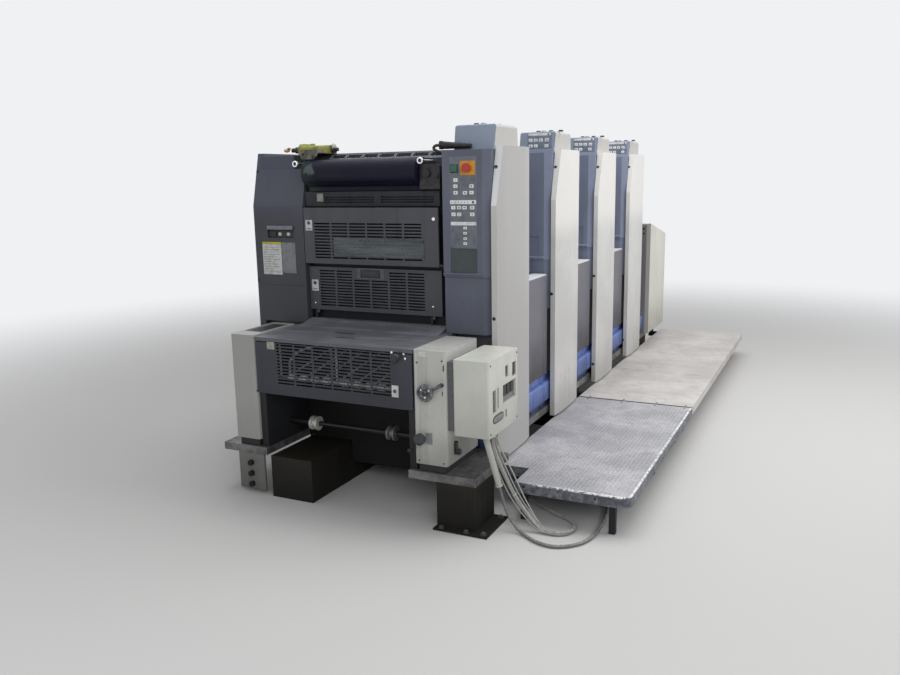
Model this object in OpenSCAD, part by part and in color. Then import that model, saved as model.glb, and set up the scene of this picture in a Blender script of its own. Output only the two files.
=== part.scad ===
// Four-unit sheet-fed offset printing press on plinths, with its delivery, feeder and walkway.
// +X is the operator's side, -Y the delivery end, +Y the feeder end, +Z up, floor at Z = 0.

/* [Printing units] */
// Distance from one printing unit to the next
unit_pitch = 840; // [700:10:1000]
// Depth of a unit's covers along the machine
unit_depth = 425; // [380:5:520]
// Half the width of the machine over its side covers
half_width = 690; // [660:5:760]
// Thickness of a side cover
cover_thick = 37; // [25:1:60]
// Height of the lower edge of the side covers
cover_bottom = 190; // [150:5:230]
// Height of the top of the side covers
cover_top = 1669; // [1600:1:1760]
// Height at which the front of a cover starts to lean back
lean_start = 1401; // [1250:1:1500]
// How far the front of a cover leans back at its top
lean_back = 65; // [20:1:100]
// Length of the rounded front and rear edges of a side cover
edge_round = 110; // [40:5:150]
// How far the rounded edges draw in from the side
edge_draw = 10; // [4:1:20]

/* [Base] */
// Height of the plinths under the base
plinth_height = 210; // [120:5:300]
// Thickness of the bed plate
bed_thick = 37; // [20:1:60]
// Height of the painted base above the bed plate
base_height = 193; // [120:1:260]

// Height of the kick panels between the units
kick_height = 560; // [480:5:600]

/* [Front of a unit] */
// Inner edge of the drive-side cover, on the drive side of the middle
drive_edge = 380; // [300:5:450]
// Inner edge of the control column, on the operator's side of the middle
column_edge = 417; // [350:1:480]
// How far the control column stands forward
column_forward = 15; // [8:1:40]
// Depth of the recess in the front of a unit
front_recess = 45; // [30:1:80]
// Height of the top of the control column
column_top = 1652; // [1560:1:1660]

/* [Guards] */
// Height of the lower edge of the upper guard
upper_guard_low = 1114; // [1080:1:1200]
// Height of the upper edge of the upper guard
upper_guard_high = 1393; // [1300:1:1440]
// Height of the lower edge of the lower guard
lower_guard_low = 873; // [850:1:950]
// Height of the upper edge of the lower guard
lower_guard_high = 1094; // [1000:1:1096]
// Thickness of the guards' folded sheet
guard_thick = 12; // [6:1:18]
// Height of one slot in a guard
slot_high = 8; // [5:0.5:9]
// Distance from one row of slots to the next, in the upper and delivery guards
slot_pitch = 15.4; // [14:0.2:16]
// Distance from one row of slots to the next, in the lower guard
lower_slot_pitch = 14.6; // [14:0.1:15]
// Width of the bars between the columns of slots
slot_bar = 9; // [6:1:16]
// Radius of the hinge pins of the guards
pin_r = 4; // [3:0.5:4.5]
// Play between a hinge pin and its hole
pin_play = 0.1; // [0.05:0.01:0.1]

/* [Delivery] */
// Distance that the delivery stands out in front of the first unit
delivery_reach = 400; // [340:10:520]
// Height of the top of the delivery table
table_top = 800; // [740:5:850]
// Thickness of the table's plate
table_thick = 18; // [10:1:30]
// Width of the drive-side delivery post
left_post_wide = 143; // [100:1:180]
// Width of the operator-side delivery post
right_post_wide = 160; // [120:1:200]
// Height of the lower edge of the delivery guard
delivery_guard_low = 525; // [460:5:600]
// Radius of the crank wheel on the operator-side post
wheel_r = 39; // [30:1:45]
// Height of the crank wheel
wheel_height = 620; // [560:1:680]
// Radius of the lower adjusting knob
knob_r = 26; // [16:1:32]
// Height of the lower adjusting knob
knob_height = 408; // [380:1:470]

/* [Electrical box] */
// Gap between the operator-side post and the box
box_gap = 32; // [20:1:50]
// Width of the box across the machine
box_wide = 167; // [130:1:220]
// Length of the box along the machine
box_long = 340; // [330:5:380]
// Height of the lower edge of the box
box_low = 435; // [400:1:500]
// Height of the box
box_high = 335; // [330:1:400]

/* [Walkway] */
// Width of the walkway past the side covers
deck_wide = 670; // [620:10:800]
// Height of the top of the walkway
deck_top = 180; // [120:5:185]
// Depth of the walkway's folded edge
deck_edge = 50; // [40:2:80]
// Thickness of the walkway's plate
deck_plate = 8; // [4:1:14]
// Distance that the walkway stands out in front of the first unit
deck_reach = 190; // [100:10:300]

/* [Feeder] */
// Distance from the last unit's front to the feeder's cheeks
feeder_offset = 660; // [600:10:800]
// Length of the feeder's cheeks along the machine
feeder_long = 620; // [500:10:800]
// Height of the front of the feeder's cheeks
feeder_top = 1140; // [1110:5:1200]
// Height of the rear of the feeder's cheeks
feeder_rear_top = 1024; // [980:2:1080]
// Height at which sheets enter the last unit
feed_height = 930; // [880:5:960]
// Width of a feeder cheek
cheek_wide = 80; // [60:2:120]

/* [Hidden] */
unit_count = 4;
// Roundness of true round parts
fine = 48;
// Small gap between pieces that sit against each other without touching
seat = 0.3;
// Gap that moving pieces keep from fixed ones
clear = 5.5;

cover_in = half_width - cover_thick;
bed_top = plinth_height + bed_thick;
base_top = bed_top + base_height;
front_y = -delivery_reach;
feeder_y = (unit_count - 1) * unit_pitch + feeder_offset;
feeder_end = feeder_y + feeder_long;
deck_out = half_width + deck_wide;

// Crank wheel: shaft, disc and nose, one after the other
wheel_shaft = 22;
wheel_disc = 12;
wheel_nose = 8;
front_reach = front_y - wheel_shaft - wheel_disc - wheel_nose;

centre_x = (deck_out - half_width) / 2;
centre_y = (feeder_end + front_reach) / 2;

// Delivery, across the machine
table_left = -drive_edge - 34;
left_post_x = table_left - left_post_wide;
table_right = column_edge + 29;
right_post_end = table_right + right_post_wide;
box_x = right_post_end + box_gap;
box_end = box_x + box_wide;

// Moves the machine so that the origin is under the middle of the whole object.
module placed() {
    translate([-centre_x, -centre_y, 0]) children();
}

// A block from its low corner to its high corner.
module block(low, high) {
    translate(low) cube(high - low);
}

// Extrudes a Y-Z outline across the machine, from x0 to x1.
module across(x0, x1) {
    translate([x0, 0, 0]) rotate([90, 0, 90]) linear_extrude(x1 - x0) children();
}

// Extrudes an X-Z outline along the machine, from y0 to y1.
module along(y0, y1) {
    translate([0, y1, 0]) rotate([90, 0, 0]) linear_extrude(y1 - y0) children();
}

// Points of an arc about a centre.
function arc(centre, r, from, to, steps = 6) =
    [for (i = [0:steps]) let (a = from + (to - from) * i / steps) centre + r * [cos(a), sin(a)]];

// Outline of a rectangle with round corners.
function round_box(low, high, r) = concat(
    arc([low[0] + r, low[1] + r], r, 180, 270), arc([high[0] - r, low[1] + r], r, 270, 360),
    arc([high[0] - r, high[1] - r], r, 0, 90), arc([low[0] + r, high[1] - r], r, 90, 180));

// An upright housing with round corners in plan.
module upright(low, high, r) {
    translate([0, 0, low[2]]) linear_extrude(high[2] - low[2])
        polygon(round_box([low[0], low[1]], [high[0], high[1]], r));
}

// An upright round bar.
module bar_z(x, y, z0, z1, r) {
    translate([x, y, z0]) cylinder(h = z1 - z0, r = r, $fn = fine);
}

// A round bar from one point to another.
module rod(from, to, r) {
    v = to - from;
    translate(from) rotate([0, acos(v[2] / norm(v)), atan2(v[1], v[0])])
        cylinder(h = norm(v), r = r, $fn = fine);
}

// A round bar across the machine, from x0 to x1.
module bar_x(x0, x1, y, z, r) {
    translate([x0, y, z]) rotate([0, 90, 0]) cylinder(h = x1 - x0, r = r, $fn = fine);
}

// A round bar along the machine, from y0 to y1.
module bar_y(x, y0, y1, z, r) {
    translate([x, y0, z]) rotate([-90, 0, 0]) cylinder(h = y1 - y0, r = r, $fn = fine);
}

function unit_y(n) = (n - 1) * unit_pitch;

// Plinths: steel blocks that lift the base off the floor.
plinth_wide = 188;
bed_out = 132;
plinth_x = right_post_end + bed_out + 2 - plinth_wide;
rear_plinth_x = cover_in - 101;
long_plinth_x = [table_left + 56, table_left + 293];
pad_thick = 8;
plinth_rear = 700;

module plinth(x0, x1, y0, y1) {
    block([x0, y0, pad_thick], [x1, y1, plinth_height]);
    block([x0 - 6, y0 - 34, 0], [x1 + 64, y1 + 10, pad_thick]);
}

module front_plinths() placed() color("darkolivegreen") {
    plinth(plinth_x, plinth_x + plinth_wide, front_y - 4, front_y + 203);
    block([long_plinth_x[0], front_y + 5, 0], [long_plinth_x[1], plinth_rear, plinth_height]);
}

module rear_plinths() placed() color("darkolivegreen")
    for (y = [unit_pitch * 1.5, feeder_end - 260])
        for (x = [-rear_plinth_x, rear_plinth_x - plinth_wide])
            plinth(x, x + plinth_wide, y, y + 207);

// Base
frame_edge = cover_in - 8;

// The bed plate is open under the pile bay, so that the pile can go down to the floor.
bay_rear = -30;

module bed_plate() placed() color("slategray") {
    difference() {
        block([-frame_edge + 5, front_y, plinth_height], [right_post_end + bed_out, -12, bed_top]);
        block([table_left + left_leg, front_y - 1, plinth_height - 1],
            [table_right - right_leg, bay_rear, bed_top + 1]);
    }
    block([-frame_edge + 5, -12, plinth_height], [frame_edge - 5, feeder_end, bed_top]);
}

// Section of the base: a rounded ledge runs along both sides.
ledge_low = 33;
ledge_high = 145;
ledge_out = 25;
ledge_round = 14;

function mirrored(p) = [for (i = [len(p) - 1:-1:0]) [-p[i][0], p[i][1]]];

module base_frame() placed() color("steelblue") {
    side = concat([[frame_edge - ledge_out, 0], [frame_edge - ledge_out, ledge_low]],
        arc([frame_edge - ledge_round, ledge_low + ledge_round], ledge_round, -90, 0, 4),
        arc([frame_edge - ledge_round, ledge_high - ledge_round], ledge_round, 0, 90, 4),
        [[frame_edge - ledge_out, ledge_high], [frame_edge - ledge_out, base_height]]);
    translate([0, 0, bed_top]) along(0, feeder_y) polygon(concat(side, mirrored(side)));
}

// Printing units
housing_dip = 92;

module housing(n) placed() color("dimgray") {
    y0 = unit_y(n) + front_recess;
    y1 = unit_y(n) + unit_depth;
    translate([0, y1, 0]) rotate([90, 0, 0]) linear_extrude(y1 - y0)
        polygon([[-cover_in, base_top], [cover_in, base_top],
            [cover_in, column_top], [column_edge, column_top],
            [column_edge, column_top - housing_dip], [-drive_edge, column_top - housing_dip],
            [-drive_edge, column_top], [-cover_in, column_top]]);
}

// Side view of a unit's covers, with the front leaning back at the top.
module cover_side(low) {
    polygon([[0, low], [unit_depth, low], [unit_depth, cover_top],
        [lean_back, cover_top], [0, lean_start]]);
}

// Plan of a side cover: its front and rear edges curve in a little.
module cover_plan() {
    steps = 8;
    out = half_width - edge_draw;
    polygon(concat([[cover_in, 0], [out, 0]],
        [for (i = [1:steps]) [out + edge_draw * sin(90 * i / steps), edge_round * i / steps]],
        [for (i = [0:steps]) [out + edge_draw * cos(90 * i / steps),
            unit_depth - edge_round * (1 - i / steps)]],
        [[cover_in, unit_depth]]));
}

module unit_cover(n) placed() color("gainsboro")
    translate([0, unit_y(n), 0]) intersection() {
        linear_extrude(cover_top) cover_plan();
        across(cover_in - 1, half_width + 1) cover_side(cover_bottom);
    }

// Recess, lip and seam in the front of a drive-side cover.
switch_low = 1239;
switch_high = 1280;
lip_high = 1303;
seam_z = 992;

module drive_cover(n) placed() color("dimgray")
    translate([0, unit_y(n), 0]) {
        difference() {
            union() {
                across(-half_width, -cover_in) cover_side(cover_bottom);
                intersection() {
                    across(-cover_in, -drive_edge) cover_side(table_top + 2);
                    block([-cover_in, 0, 0], [-drive_edge, front_recess, column_top]);
                }
            }
            block([-half_width + 83, -1, switch_low], [-drive_edge - 62, 12, switch_high]);
            block([-half_width - 1, -1, seam_z], [-drive_edge + 1, 2, seam_z + 3]);
            if (n == 1) pin_hole(-drive_edge - pin_reach - 1, -drive_edge + 1, upper_axis_y, upper_axis_z);
        }
        across(-half_width + 81, -drive_edge - 60)
            polygon([[1, switch_high], [1, lip_high], [-4, lip_high], [-8, lip_high - 6], [-8, switch_high]]);
    }

// Hole across the machine for a hinge pin, from x0 to x1.
module pin_hole(x0, x1, y, z) {
    bar_x(x0, x1, y, z, pin_r + pin_play);
}

column_bevel = 33;
console_x = column_edge + 38;
console_wide = 134;
console_low = 1075;
display_low = 1093;
display_high = 1206;
foot_recess = 12;

module column_plan(front)
    polygon([[column_edge, front_recess], [column_edge, front], [cover_in - column_bevel - 2, front],
        [cover_in - 2, front + column_bevel], [cover_in - 2, front_recess]]);

module column(n) placed() color("slategray")
    translate([0, unit_y(n), 0]) {
        translate([0, 0, table_top + 2]) linear_extrude(console_low - table_top - 2)
            column_plan(foot_recess - column_forward);
        difference() {
            translate([0, 0, console_low]) linear_extrude(column_top - console_low)
                column_plan(-column_forward);
            block([console_x, -column_forward - 1, display_low],
                [console_x + console_wide, -column_forward + 4, display_high]);
            if (n == 1) {
                pin_hole(column_edge - 1, column_edge + pin_reach + 1, upper_axis_y, upper_axis_z);
                bar_y(stop_x, -column_forward - 1, -column_forward + stop_stem + stop_travel + 2, stop_z,
                    stop_stem_r + pin_play);
            }
        }
        across(column_edge, cover_in - column_bevel - 2)
            polygon(concat([[-column_forward + 2, console_low + 6]],
                arc([-column_forward, console_low + 12], 6, 270, 90), [[-column_forward + 2, console_low + 18]]));
    }

// Top boxes: they taper to the rear and have round upper edges.
top_high = 113;
top_round = 14;
top_front = front_recess + 5;

module top_boxes() placed() color("lightslategray")
    for (n = [1:unit_count])
        translate([0, unit_y(n), column_top]) {
            intersection() {
                along(top_front, top_front + 302)
                    polygon(concat([[column_edge + 33, 0], [cover_in - 1, 0]],
                        [[cover_in - 1, cover_top - column_top + 1]],
                        arc([cover_in + 8 - top_round, top_high - top_round], top_round, 0, 90),
                        arc([column_edge + 41 + top_round, top_high - top_round], top_round, 90, 180)));
                across(column_edge, cover_in + 10)
                    polygon(concat([[top_front, 0], [top_front + 302, 0]],
                        arc([top_front + 260 - top_round, top_high - top_round], top_round, 20, 90),
                        arc([top_front + top_round / 2, top_high - top_round / 2], top_round / 2, 90, 180)));
            }
            bar_z(column_edge + 150, top_front + 80, top_high - 1, top_high + 9, 14);
            bar_z(column_edge + 200, top_front + 150, top_high - 1, top_high + 6, 9);
        }

// Cable conduit on top of the first unit's column, with a loop into the ink hood.
conduit_r = 15;
lead_r = 6;
conduit_x = [column_edge - 13, column_edge + 128];
lead_route = [for (p = [[0, 30, 15], [-19, 28, 16], [-37, 32, 20], [-47, 46, 26], [-46, 64, 31],
    [-38, 82, 28], [-34, 90, 18], [-34, 92, 6]]) [conduit_x[0] + p[0], p[1], column_top + p[2]]];

module column_conduit() placed() color("black") {
    bar_x(conduit_x[0], conduit_x[1], top_front - conduit_r - 4, column_top + conduit_r, conduit_r);
    tube(lead_route, 3, lead_r, 8);
}

hood_front = front_recess + 15;
hood_high = 98;
hood_slope = 50;
vent_pitch = 93;

module ink_hoods() placed() color("dimgray")
    for (n = [1:unit_count])
        translate([0, unit_y(n), column_top - housing_dip]) difference() {
            across(-drive_edge + 2, column_edge - 2)
                polygon(concat([[hood_front, 0], [unit_depth - 20, 0]],
                    arc([unit_depth - 50, hood_high - 30], 30, 0, 90),
                    [[hood_front + hood_slope, hood_high], [hood_front, hood_high - 34]]));
            for (i = [0:6])
                block([-drive_edge + 132 + i * vent_pitch, hood_front + 12, 20],
                    [-drive_edge + 132 + (i + 1) * vent_pitch - 12, hood_front + 40, hood_high + 1]);
        }

// A panel of folded sheet with columns of slots; every column has its own first and last row.
guard_sheet = 3;

module slotted(x0, x1, y0, z0, z1, sx0, sx1, columns, top_z, rows, pitch = slot_pitch) {
    col = (sx1 - sx0 + slot_bar) / columns;
    difference() {
        block([x0, y0, z0], [x1, y0 + guard_thick, z1]);
        block([x0 + guard_sheet, y0 + guard_sheet, z0 + guard_sheet],
            [x1 - guard_sheet, y0 + guard_thick + 1, z1 - guard_sheet]);
        for (c = [0:columns - 1], r = [rows[c][0]:rows[c][1]])
            block([sx0 + c * col, y0 - 1, top_z - r * pitch - slot_high],
                [sx0 + (c + 1) * col - slot_bar, y0 + guard_sheet + 1, top_z - r * pitch]);
    }
}

guard_x0 = -drive_edge + clear;
guard_x1 = column_edge - 32;

module inner_guards() placed() color("dimgray")
    for (n = [2:unit_count])
        translate([0, unit_y(n), 0])
            slotted(guard_x0, guard_x1, front_recess - guard_thick,
                lower_guard_low, upper_guard_high, guard_x0 + 60, guard_x1 - 80, 6,
                upper_guard_high - 50, [for (c = [0:5]) [0, 5]]);

// Kick panels: folded sheet whose top flange lies on the transfer cover.
kick_thick = 32;
flange_wide = 50;
flange_thick = 8;
kick_top = base_top + kick_height;
kick_x = cover_in - 13 - kick_thick;

module kick_panels() placed() color("lightgray")
    for (n = [1:unit_count - 1])
        along(unit_y(n) + unit_depth, unit_y(n + 1) - column_forward - clear)
            polygon(concat([[kick_x, base_top], [kick_x + kick_thick, base_top]],
                arc([kick_x + kick_thick - 12, kick_top - 12], 12, 0, 90),
                [[kick_x - flange_wide, kick_top], [kick_x - flange_wide, kick_top - flange_thick],
                [kick_x, kick_top - flange_thick]]));

module transfer_covers() placed() color("gray")
    for (n = [1:unit_count - 1])
        block([-cover_in + 53, unit_y(n) + unit_depth, base_top],
            [kick_x, unit_y(n + 1) - column_forward - clear, kick_top - flange_thick]);

// Front of the first unit
roller_x = [-drive_edge + 45, column_edge - 119];
roller_low = 1474;
roller_high = 1626;
roller_front = -60;
roller_round = 52;
roller_under = 34;
roller_drop = 78;

// The roller's cover: a bulge with a round top and a smaller round below, over a low lip.
module roller_cover() placed() color("midnightblue")
    across(roller_x[0], roller_x[1])
        polygon(concat([[front_recess, roller_low], [front_recess, roller_high]],
            arc([roller_front + roller_round, roller_high - roller_round], roller_round, 90, 180, 8),
            [[roller_front, roller_high - roller_drop]],
            arc([roller_front + roller_under, roller_high - roller_drop], roller_under, 180, 260, 5),
            [[-20, roller_low + 32], [6, roller_low + 20], [10, roller_low]]));

// Black end bracket of the roller, with its two round bosses.
bracket_x = [roller_x[1] + 5, column_edge - 10];
bracket_low = roller_low + 4;
bracket_round = 22;

module roller_bracket() placed() color("black") {
    along(-20, front_recess) polygon(concat([[bracket_x[0], bracket_low], [bracket_x[1], bracket_low]],
        [[bracket_x[1], bracket_low + 82]],
        arc([bracket_x[1] - bracket_round, bracket_low + 94], bracket_round, 0, 90, 5),
        [[bracket_x[0], bracket_low + 94 + bracket_round]]));
    bar_y(bracket_x[1] - 15, -34, -19, bracket_low + 62, 11);
    bar_y(rest_x[1], -30, -19, bracket_low + 74, 20);
}

module roller_tray() placed() color("dimgray")
    difference() {
        block([guard_x0, 20, upper_guard_high + 6], [guard_x1, front_recess, roller_low - 3]);
        for (x = [-drive_edge + 120, column_edge - 351])
            for (z = [22, 34, 46])
                block([x, 19, upper_guard_high + z], [x + 290, 32, upper_guard_high + z + 7]);
    }

rest_x = [-drive_edge + 29, column_edge - 77];
rest_z = roller_high - 18;
rest_r = 6;
rest_front = -82;
rest_head = 12;

module rest_fittings() placed() color("silver")
    for (x = rest_x) {
        bar_y(x, rest_front + rest_head - 1, hood_front, rest_z, rest_r);
        bar_y(x, rest_front, rest_front + rest_head, rest_z, 14);
    }

// Cast end of the ink fountain, on the left of the hood.
casting_foot = column_top - housing_dip + hood_high + seat;
casting_x = [-drive_edge - 25, -drive_edge + 132];
casting_face = rest_x[0] - 3;
casting_rear = 135;
casting_y = 100;
plate_front = -30;
plate_low = roller_high + 4;

module ink_casting() placed() color("olive") {
    across(casting_x[0], casting_x[1]) polygon(concat([[62, casting_foot], [casting_rear, casting_foot]],
        arc([casting_rear - 14, casting_foot + 28], 14, 0, 90), arc([82, casting_foot + 22], 20, 90, 180)));
    across(casting_x[0] - 19, casting_x[0] + 1) polygon(concat(
        [[50, column_top + seat], [casting_rear + 30, column_top + seat]],
        arc([casting_rear, column_top + 28], 30, 0, 90), arc([80, column_top + 28], 30, 90, 180)));
    bar_x(casting_x[1] - 1, casting_x[1] + 16, casting_y, casting_foot + 20, 17);
    bar_x(casting_x[1] + 15, casting_x[1] + 32, casting_y, casting_foot + 20, 9);
    bar_x(casting_x[0] - 90, casting_x[0] - 18, casting_y, casting_foot + 22, 11);
    bar_x(casting_x[0] - 65, casting_x[0] - 41, casting_y, casting_foot + 22, 16);
    bar_z(casting_x[0] + 39, casting_y, casting_foot + 30, casting_foot + 52, 12);
    block([casting_face, plate_front, casting_foot + 2], [casting_face + 92, 70, casting_foot + 18]);
    along(plate_front, plate_front + 8) polygon([[casting_face, casting_foot + 18], [casting_face, plate_low + 6],
        [casting_face + 8, plate_low], [casting_face + 76, plate_low], [casting_face + 96, plate_low + 18],
        [casting_face + 96, casting_foot + 18]]);
}

// Hinges of the guards: both fold out and down about their lower edges.
pin_reach = 16;
upper_axis_y = 14;
upper_axis_z = upper_guard_low + 6;
upper_guard_y = -2;
window_x = [-drive_edge + 181, column_edge - 108];
window_z = [upper_guard_low + 40, upper_guard_low + 134];
window_thick = 3;
knuckle_r = 7;
lower_axis_y = front_recess - 8 - guard_thick / 2;
lower_axis_z = lower_guard_low - knuckle_r - 5;
knuckle_x = [-drive_edge + 50, column_edge - 77];
knuckle_wide = 10;

module upper_guard() placed() color("dimgray") {
    slotted(guard_x0, guard_x1, upper_guard_y, upper_guard_low, upper_guard_high,
        -drive_edge + 66, column_edge - 121, 6, upper_guard_high - 75, [for (c = [0:5]) [0, 11]]);
    for (x = [guard_x0, guard_x1 - 10])
        block([x, upper_guard_y + guard_sheet, upper_guard_low], [x + 10, upper_axis_y + 8, upper_axis_z + 8]);
    bar_x(-drive_edge - pin_reach, guard_x0 + 5, upper_axis_y, upper_axis_z, pin_r);
    bar_x(guard_x1 - 5, column_edge + pin_reach, upper_axis_y, upper_axis_z, pin_r);
}

// The window is a tinted pane that lies on the front of the guard's sheet, over its slots.
module guard_window() placed() color("darkseagreen")
    block([window_x[0], upper_guard_y - window_thick, window_z[0]],
        [window_x[1], upper_guard_y, window_z[1]]);

module lower_guard() placed() color("dimgray")
    difference() {
        union() {
            slotted(guard_x0, guard_x1, front_recess - guard_thick - 8,
                lower_guard_low, lower_guard_high,
                -drive_edge + 68, column_edge - 124, 6, lower_guard_high - 16,
                [[0, 12], [0, 12], [3, 12], [3, 12], [0, 12], [0, 12]], lower_slot_pitch);
            for (x = knuckle_x) {
                bar_x(x - knuckle_wide / 2, x + knuckle_wide / 2, lower_axis_y, lower_axis_z, knuckle_r);
                block([x - knuckle_wide / 2, lower_axis_y - guard_thick / 2, lower_axis_z],
                    [x + knuckle_wide / 2, lower_axis_y + guard_thick / 2, lower_guard_low + 1]);
            }
        }
        for (x = knuckle_x)
            pin_hole(x - knuckle_wide, x + knuckle_wide, lower_axis_y, lower_axis_z);
    }

table_rise = 28;

module hinge_brackets() placed() color("black")
    for (x = knuckle_x) {
        x0 = x - knuckle_wide / 2 - 1 - knuckle_wide;
        block([x0, lower_axis_y - knuckle_r, table_top + table_rise],
            [x0 + knuckle_wide, lower_axis_y + knuckle_r, lower_axis_z]);
        bar_x(x0, x0 + knuckle_wide, lower_axis_y, lower_axis_z, knuckle_r);
        bar_x(x0, x + knuckle_wide / 2 + 3, lower_axis_y, lower_axis_z, pin_r);
    }

// Delivery: the rear of the table rises towards the guards.
module delivery_table() placed() color("dimgray")
    difference() {
        union() {
            block([table_left, front_y, table_top - table_thick], [table_right, front_recess, table_top]);
            across(-drive_edge + clear, column_edge - clear) polygon([[front_recess, table_top - 1],
                [front_recess, table_top + table_rise], [front_recess - 25, table_top + table_rise],
                [-85, table_top], [-85, table_top - 1]]);
        }
        block([-37, front_y + 124, table_top - 8], [68, front_y + 142, table_top + 1]);
    }

guard_axis_y = front_y + guard_thick / 2;
guard_axis_z = delivery_guard_low + 6;

// Posts: sheet housings with round edges, on a dark foot that stands back.
post_round = 14;
post_foot = 38;
post_back = front_y + 340;
tray_deep = 6;

module post(x0, x1, top) {
    upright([x0, front_y, bed_top + post_foot], [x1, post_back, top], post_round);
    block([x0 + 14, front_y + 14, bed_top], [x1 - 14, post_back - 14, bed_top + post_foot]);
}

module left_post() placed() color("gainsboro")
    difference() {
        post(left_post_x, table_left, table_top + 5);
        translate([0, 0, table_top + 5 - tray_deep]) linear_extrude(tray_deep + 1)
            polygon(round_box([left_post_x + 14, front_y + 90], [table_left - 28, post_back - 12], 8));
        pin_hole(table_left - pin_reach - 1, table_left + 1, guard_axis_y, guard_axis_z);
    }

module control_post() placed() color("gainsboro")
    difference() {
        post(table_right, right_post_end, table_top);
        pin_hole(table_right - 1, table_right + pin_reach + 1, guard_axis_y, guard_axis_z);
        bar_y(wheel_x, front_y - 1, front_y + stem_depth + 2, wheel_height, wheel_stem_r + pin_play);
        bar_y(knob_x, front_y - 1, front_y + stem_depth + 2, knob_height, knob_stem_r + pin_play);
        for (z = [table_top - 62, table_top - 236])
            block([right_post_end - 3, front_y + 24, z - 17], [right_post_end + 1, front_y + 32, z + 17]);
    }

left_leg = 36;
right_leg = 36;
leg_front = front_y + 20;

// The delivery's side frames: deep dark plates between the posts and the pile bay.
module delivery_legs() placed() color("darkslategray") {
    block([table_left, leg_front, bed_top], [table_left + left_leg, bay_rear, table_top - table_thick]);
    block([table_right - right_leg, leg_front, bed_top], [table_right, bay_rear, table_top - table_thick]);
}

// Dark panel that closes the rear of the pile bay, cut out over the long plinth.
back_thick = 12;
back_low = 100;

module pile_back() placed() color("black")
    difference() {
        block([table_left + left_leg + clear, bay_rear - back_thick, back_low],
            [table_right - right_leg - clear, bay_rear, table_top - table_thick]);
        block([long_plinth_x[0] - clear, bay_rear - back_thick - 1, 0],
            [long_plinth_x[1] + clear, bay_rear + 1, plinth_height + clear]);
    }

latch_x = table_right - 72;
latch_z = table_top - 38;

module delivery_guard() placed() color("dimgray") {
    slotted(table_left + clear, table_right - clear, front_y,
        delivery_guard_low, table_top - table_thick - clear,
        table_left + 128, table_right - 112, 6, table_top - 28, [for (c = [0:5]) [0, 12]]);
    bar_x(table_left - pin_reach, table_left + clear + 1, guard_axis_y, guard_axis_z, pin_r);
    bar_x(table_right - clear - 1, table_right + pin_reach, guard_axis_y, guard_axis_z, pin_r);
    bar_y(latch_x, front_y - 16, front_y + 1, latch_z, 9);
    bar_y(latch_x, front_y - 22, front_y - 16, latch_z, 12);
}

// Grooved chain rollers of the pile hoist, on their cross shaft.
hoist_y = front_y + 200;
hoist_z = bed_top + 90;
hoist_r = 35;
hoist_wide = 42;

module pile_hoist() placed() color("silver") {
    bar_x(table_left + left_leg, table_right - right_leg, hoist_y, hoist_z, 12);
    for (x = [-220, 220])
        translate([x - hoist_wide / 2, hoist_y, hoist_z]) rotate([0, 90, 0]) rotate_extrude($fn = fine)
            polygon([[0, 0], [hoist_r, 0], [hoist_r, 9], [hoist_r - 13, 14], [hoist_r - 13, hoist_wide - 14],
                [hoist_r, hoist_wide - 9], [hoist_r, hoist_wide], [0, hoist_wide]]);
}

wheel_x = table_right + 71;
knob_x = table_right + 41;
wheel_stem_r = 8;
knob_stem_r = 7;
stem_depth = 30;
grip_long = 46;
grip_tilt = 27;
lever_end = [-52, -58];
ball_r = 11;

// Crank wheel: a rimmed disc, with a tapered grip that points away from its shaft.
module crank_wheel() placed() color("silver") {
    bar_y(wheel_x, front_reach + 1, front_y + stem_depth, wheel_height, wheel_stem_r);
    translate([wheel_x, front_y - wheel_shaft, wheel_height]) rotate([90, 0, 0]) rotate_extrude($fn = fine)
        polygon([[0, 0], [wheel_r - 3, 0], [wheel_r, 3], [wheel_r, wheel_disc - 3], [wheel_r - 3, wheel_disc],
            [wheel_r - 8, wheel_disc], [wheel_r - 10, 5], [14, 5], [12, wheel_disc + wheel_nose],
            [0, wheel_disc + wheel_nose]]);
    translate([wheel_x, front_y - wheel_shaft - wheel_disc / 2, wheel_height]) rotate([0, 90 - grip_tilt, 0])
        translate([0, 0, wheel_r - 4]) {
            cylinder(h = 12, r = 5, $fn = fine);
            translate([0, 0, 11]) cylinder(h = grip_long, r1 = 7, r2 = 10, $fn = fine);
        }
}

// Lower knob: a clamping lever that ends in a ball.
module adjusting_knob() placed() color("black") {
    mid = front_y - wheel_shaft - 8;
    bar_y(knob_x, front_y - wheel_shaft, front_y + stem_depth, knob_height, knob_stem_r);
    bar_y(knob_x, front_y - wheel_shaft - 16, front_y - wheel_shaft, knob_height, knob_r);
    rod([knob_x, mid, knob_height], [knob_x + lever_end[0], mid, knob_height + lever_end[1]], 5);
    translate([knob_x + lever_end[0], mid, knob_height + lever_end[1]]) rotate([90, 0, 0])
        rotate_extrude($fn = fine) polygon(arc([0, 0], ball_r, -90, 90, 8));
}

stop_x = column_edge + 131;
stop_z = 1572;
stop_stem = 14;
stop_stem_r = 9;
stop_travel = 4;

module emergency_stop() placed() color("red") {
    bar_y(stop_x, -column_forward - 14, -column_forward + stop_stem, stop_z, stop_stem_r);
    bar_y(stop_x, -column_forward - 28, -column_forward - 14, stop_z, 20);
}

// Electrical box beside the operator-side post, with pockets in its outer side.
// Each pocket is given from the front and from the bottom of the box.
box_round = 10;
pocket_deep = 10;
pockets = [[186, 219, 231, 282], [269, 314, 217, 280], [158, 311, 119, 201],
    [43, 81, 103, 201], [94, 110, 112, 204], [184, 203, 50, 85]];

module electrical_box() placed() color("lightgray")
    difference() {
        upright([box_x, front_y, box_low], [box_end, front_y + box_long, box_low + box_high], box_round);
        for (p = pockets)
            block([box_end - pocket_deep, front_y + p[0], box_low + p[2]],
                [box_end + 1, front_y + p[1], box_low + p[3]]);
    }

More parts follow.
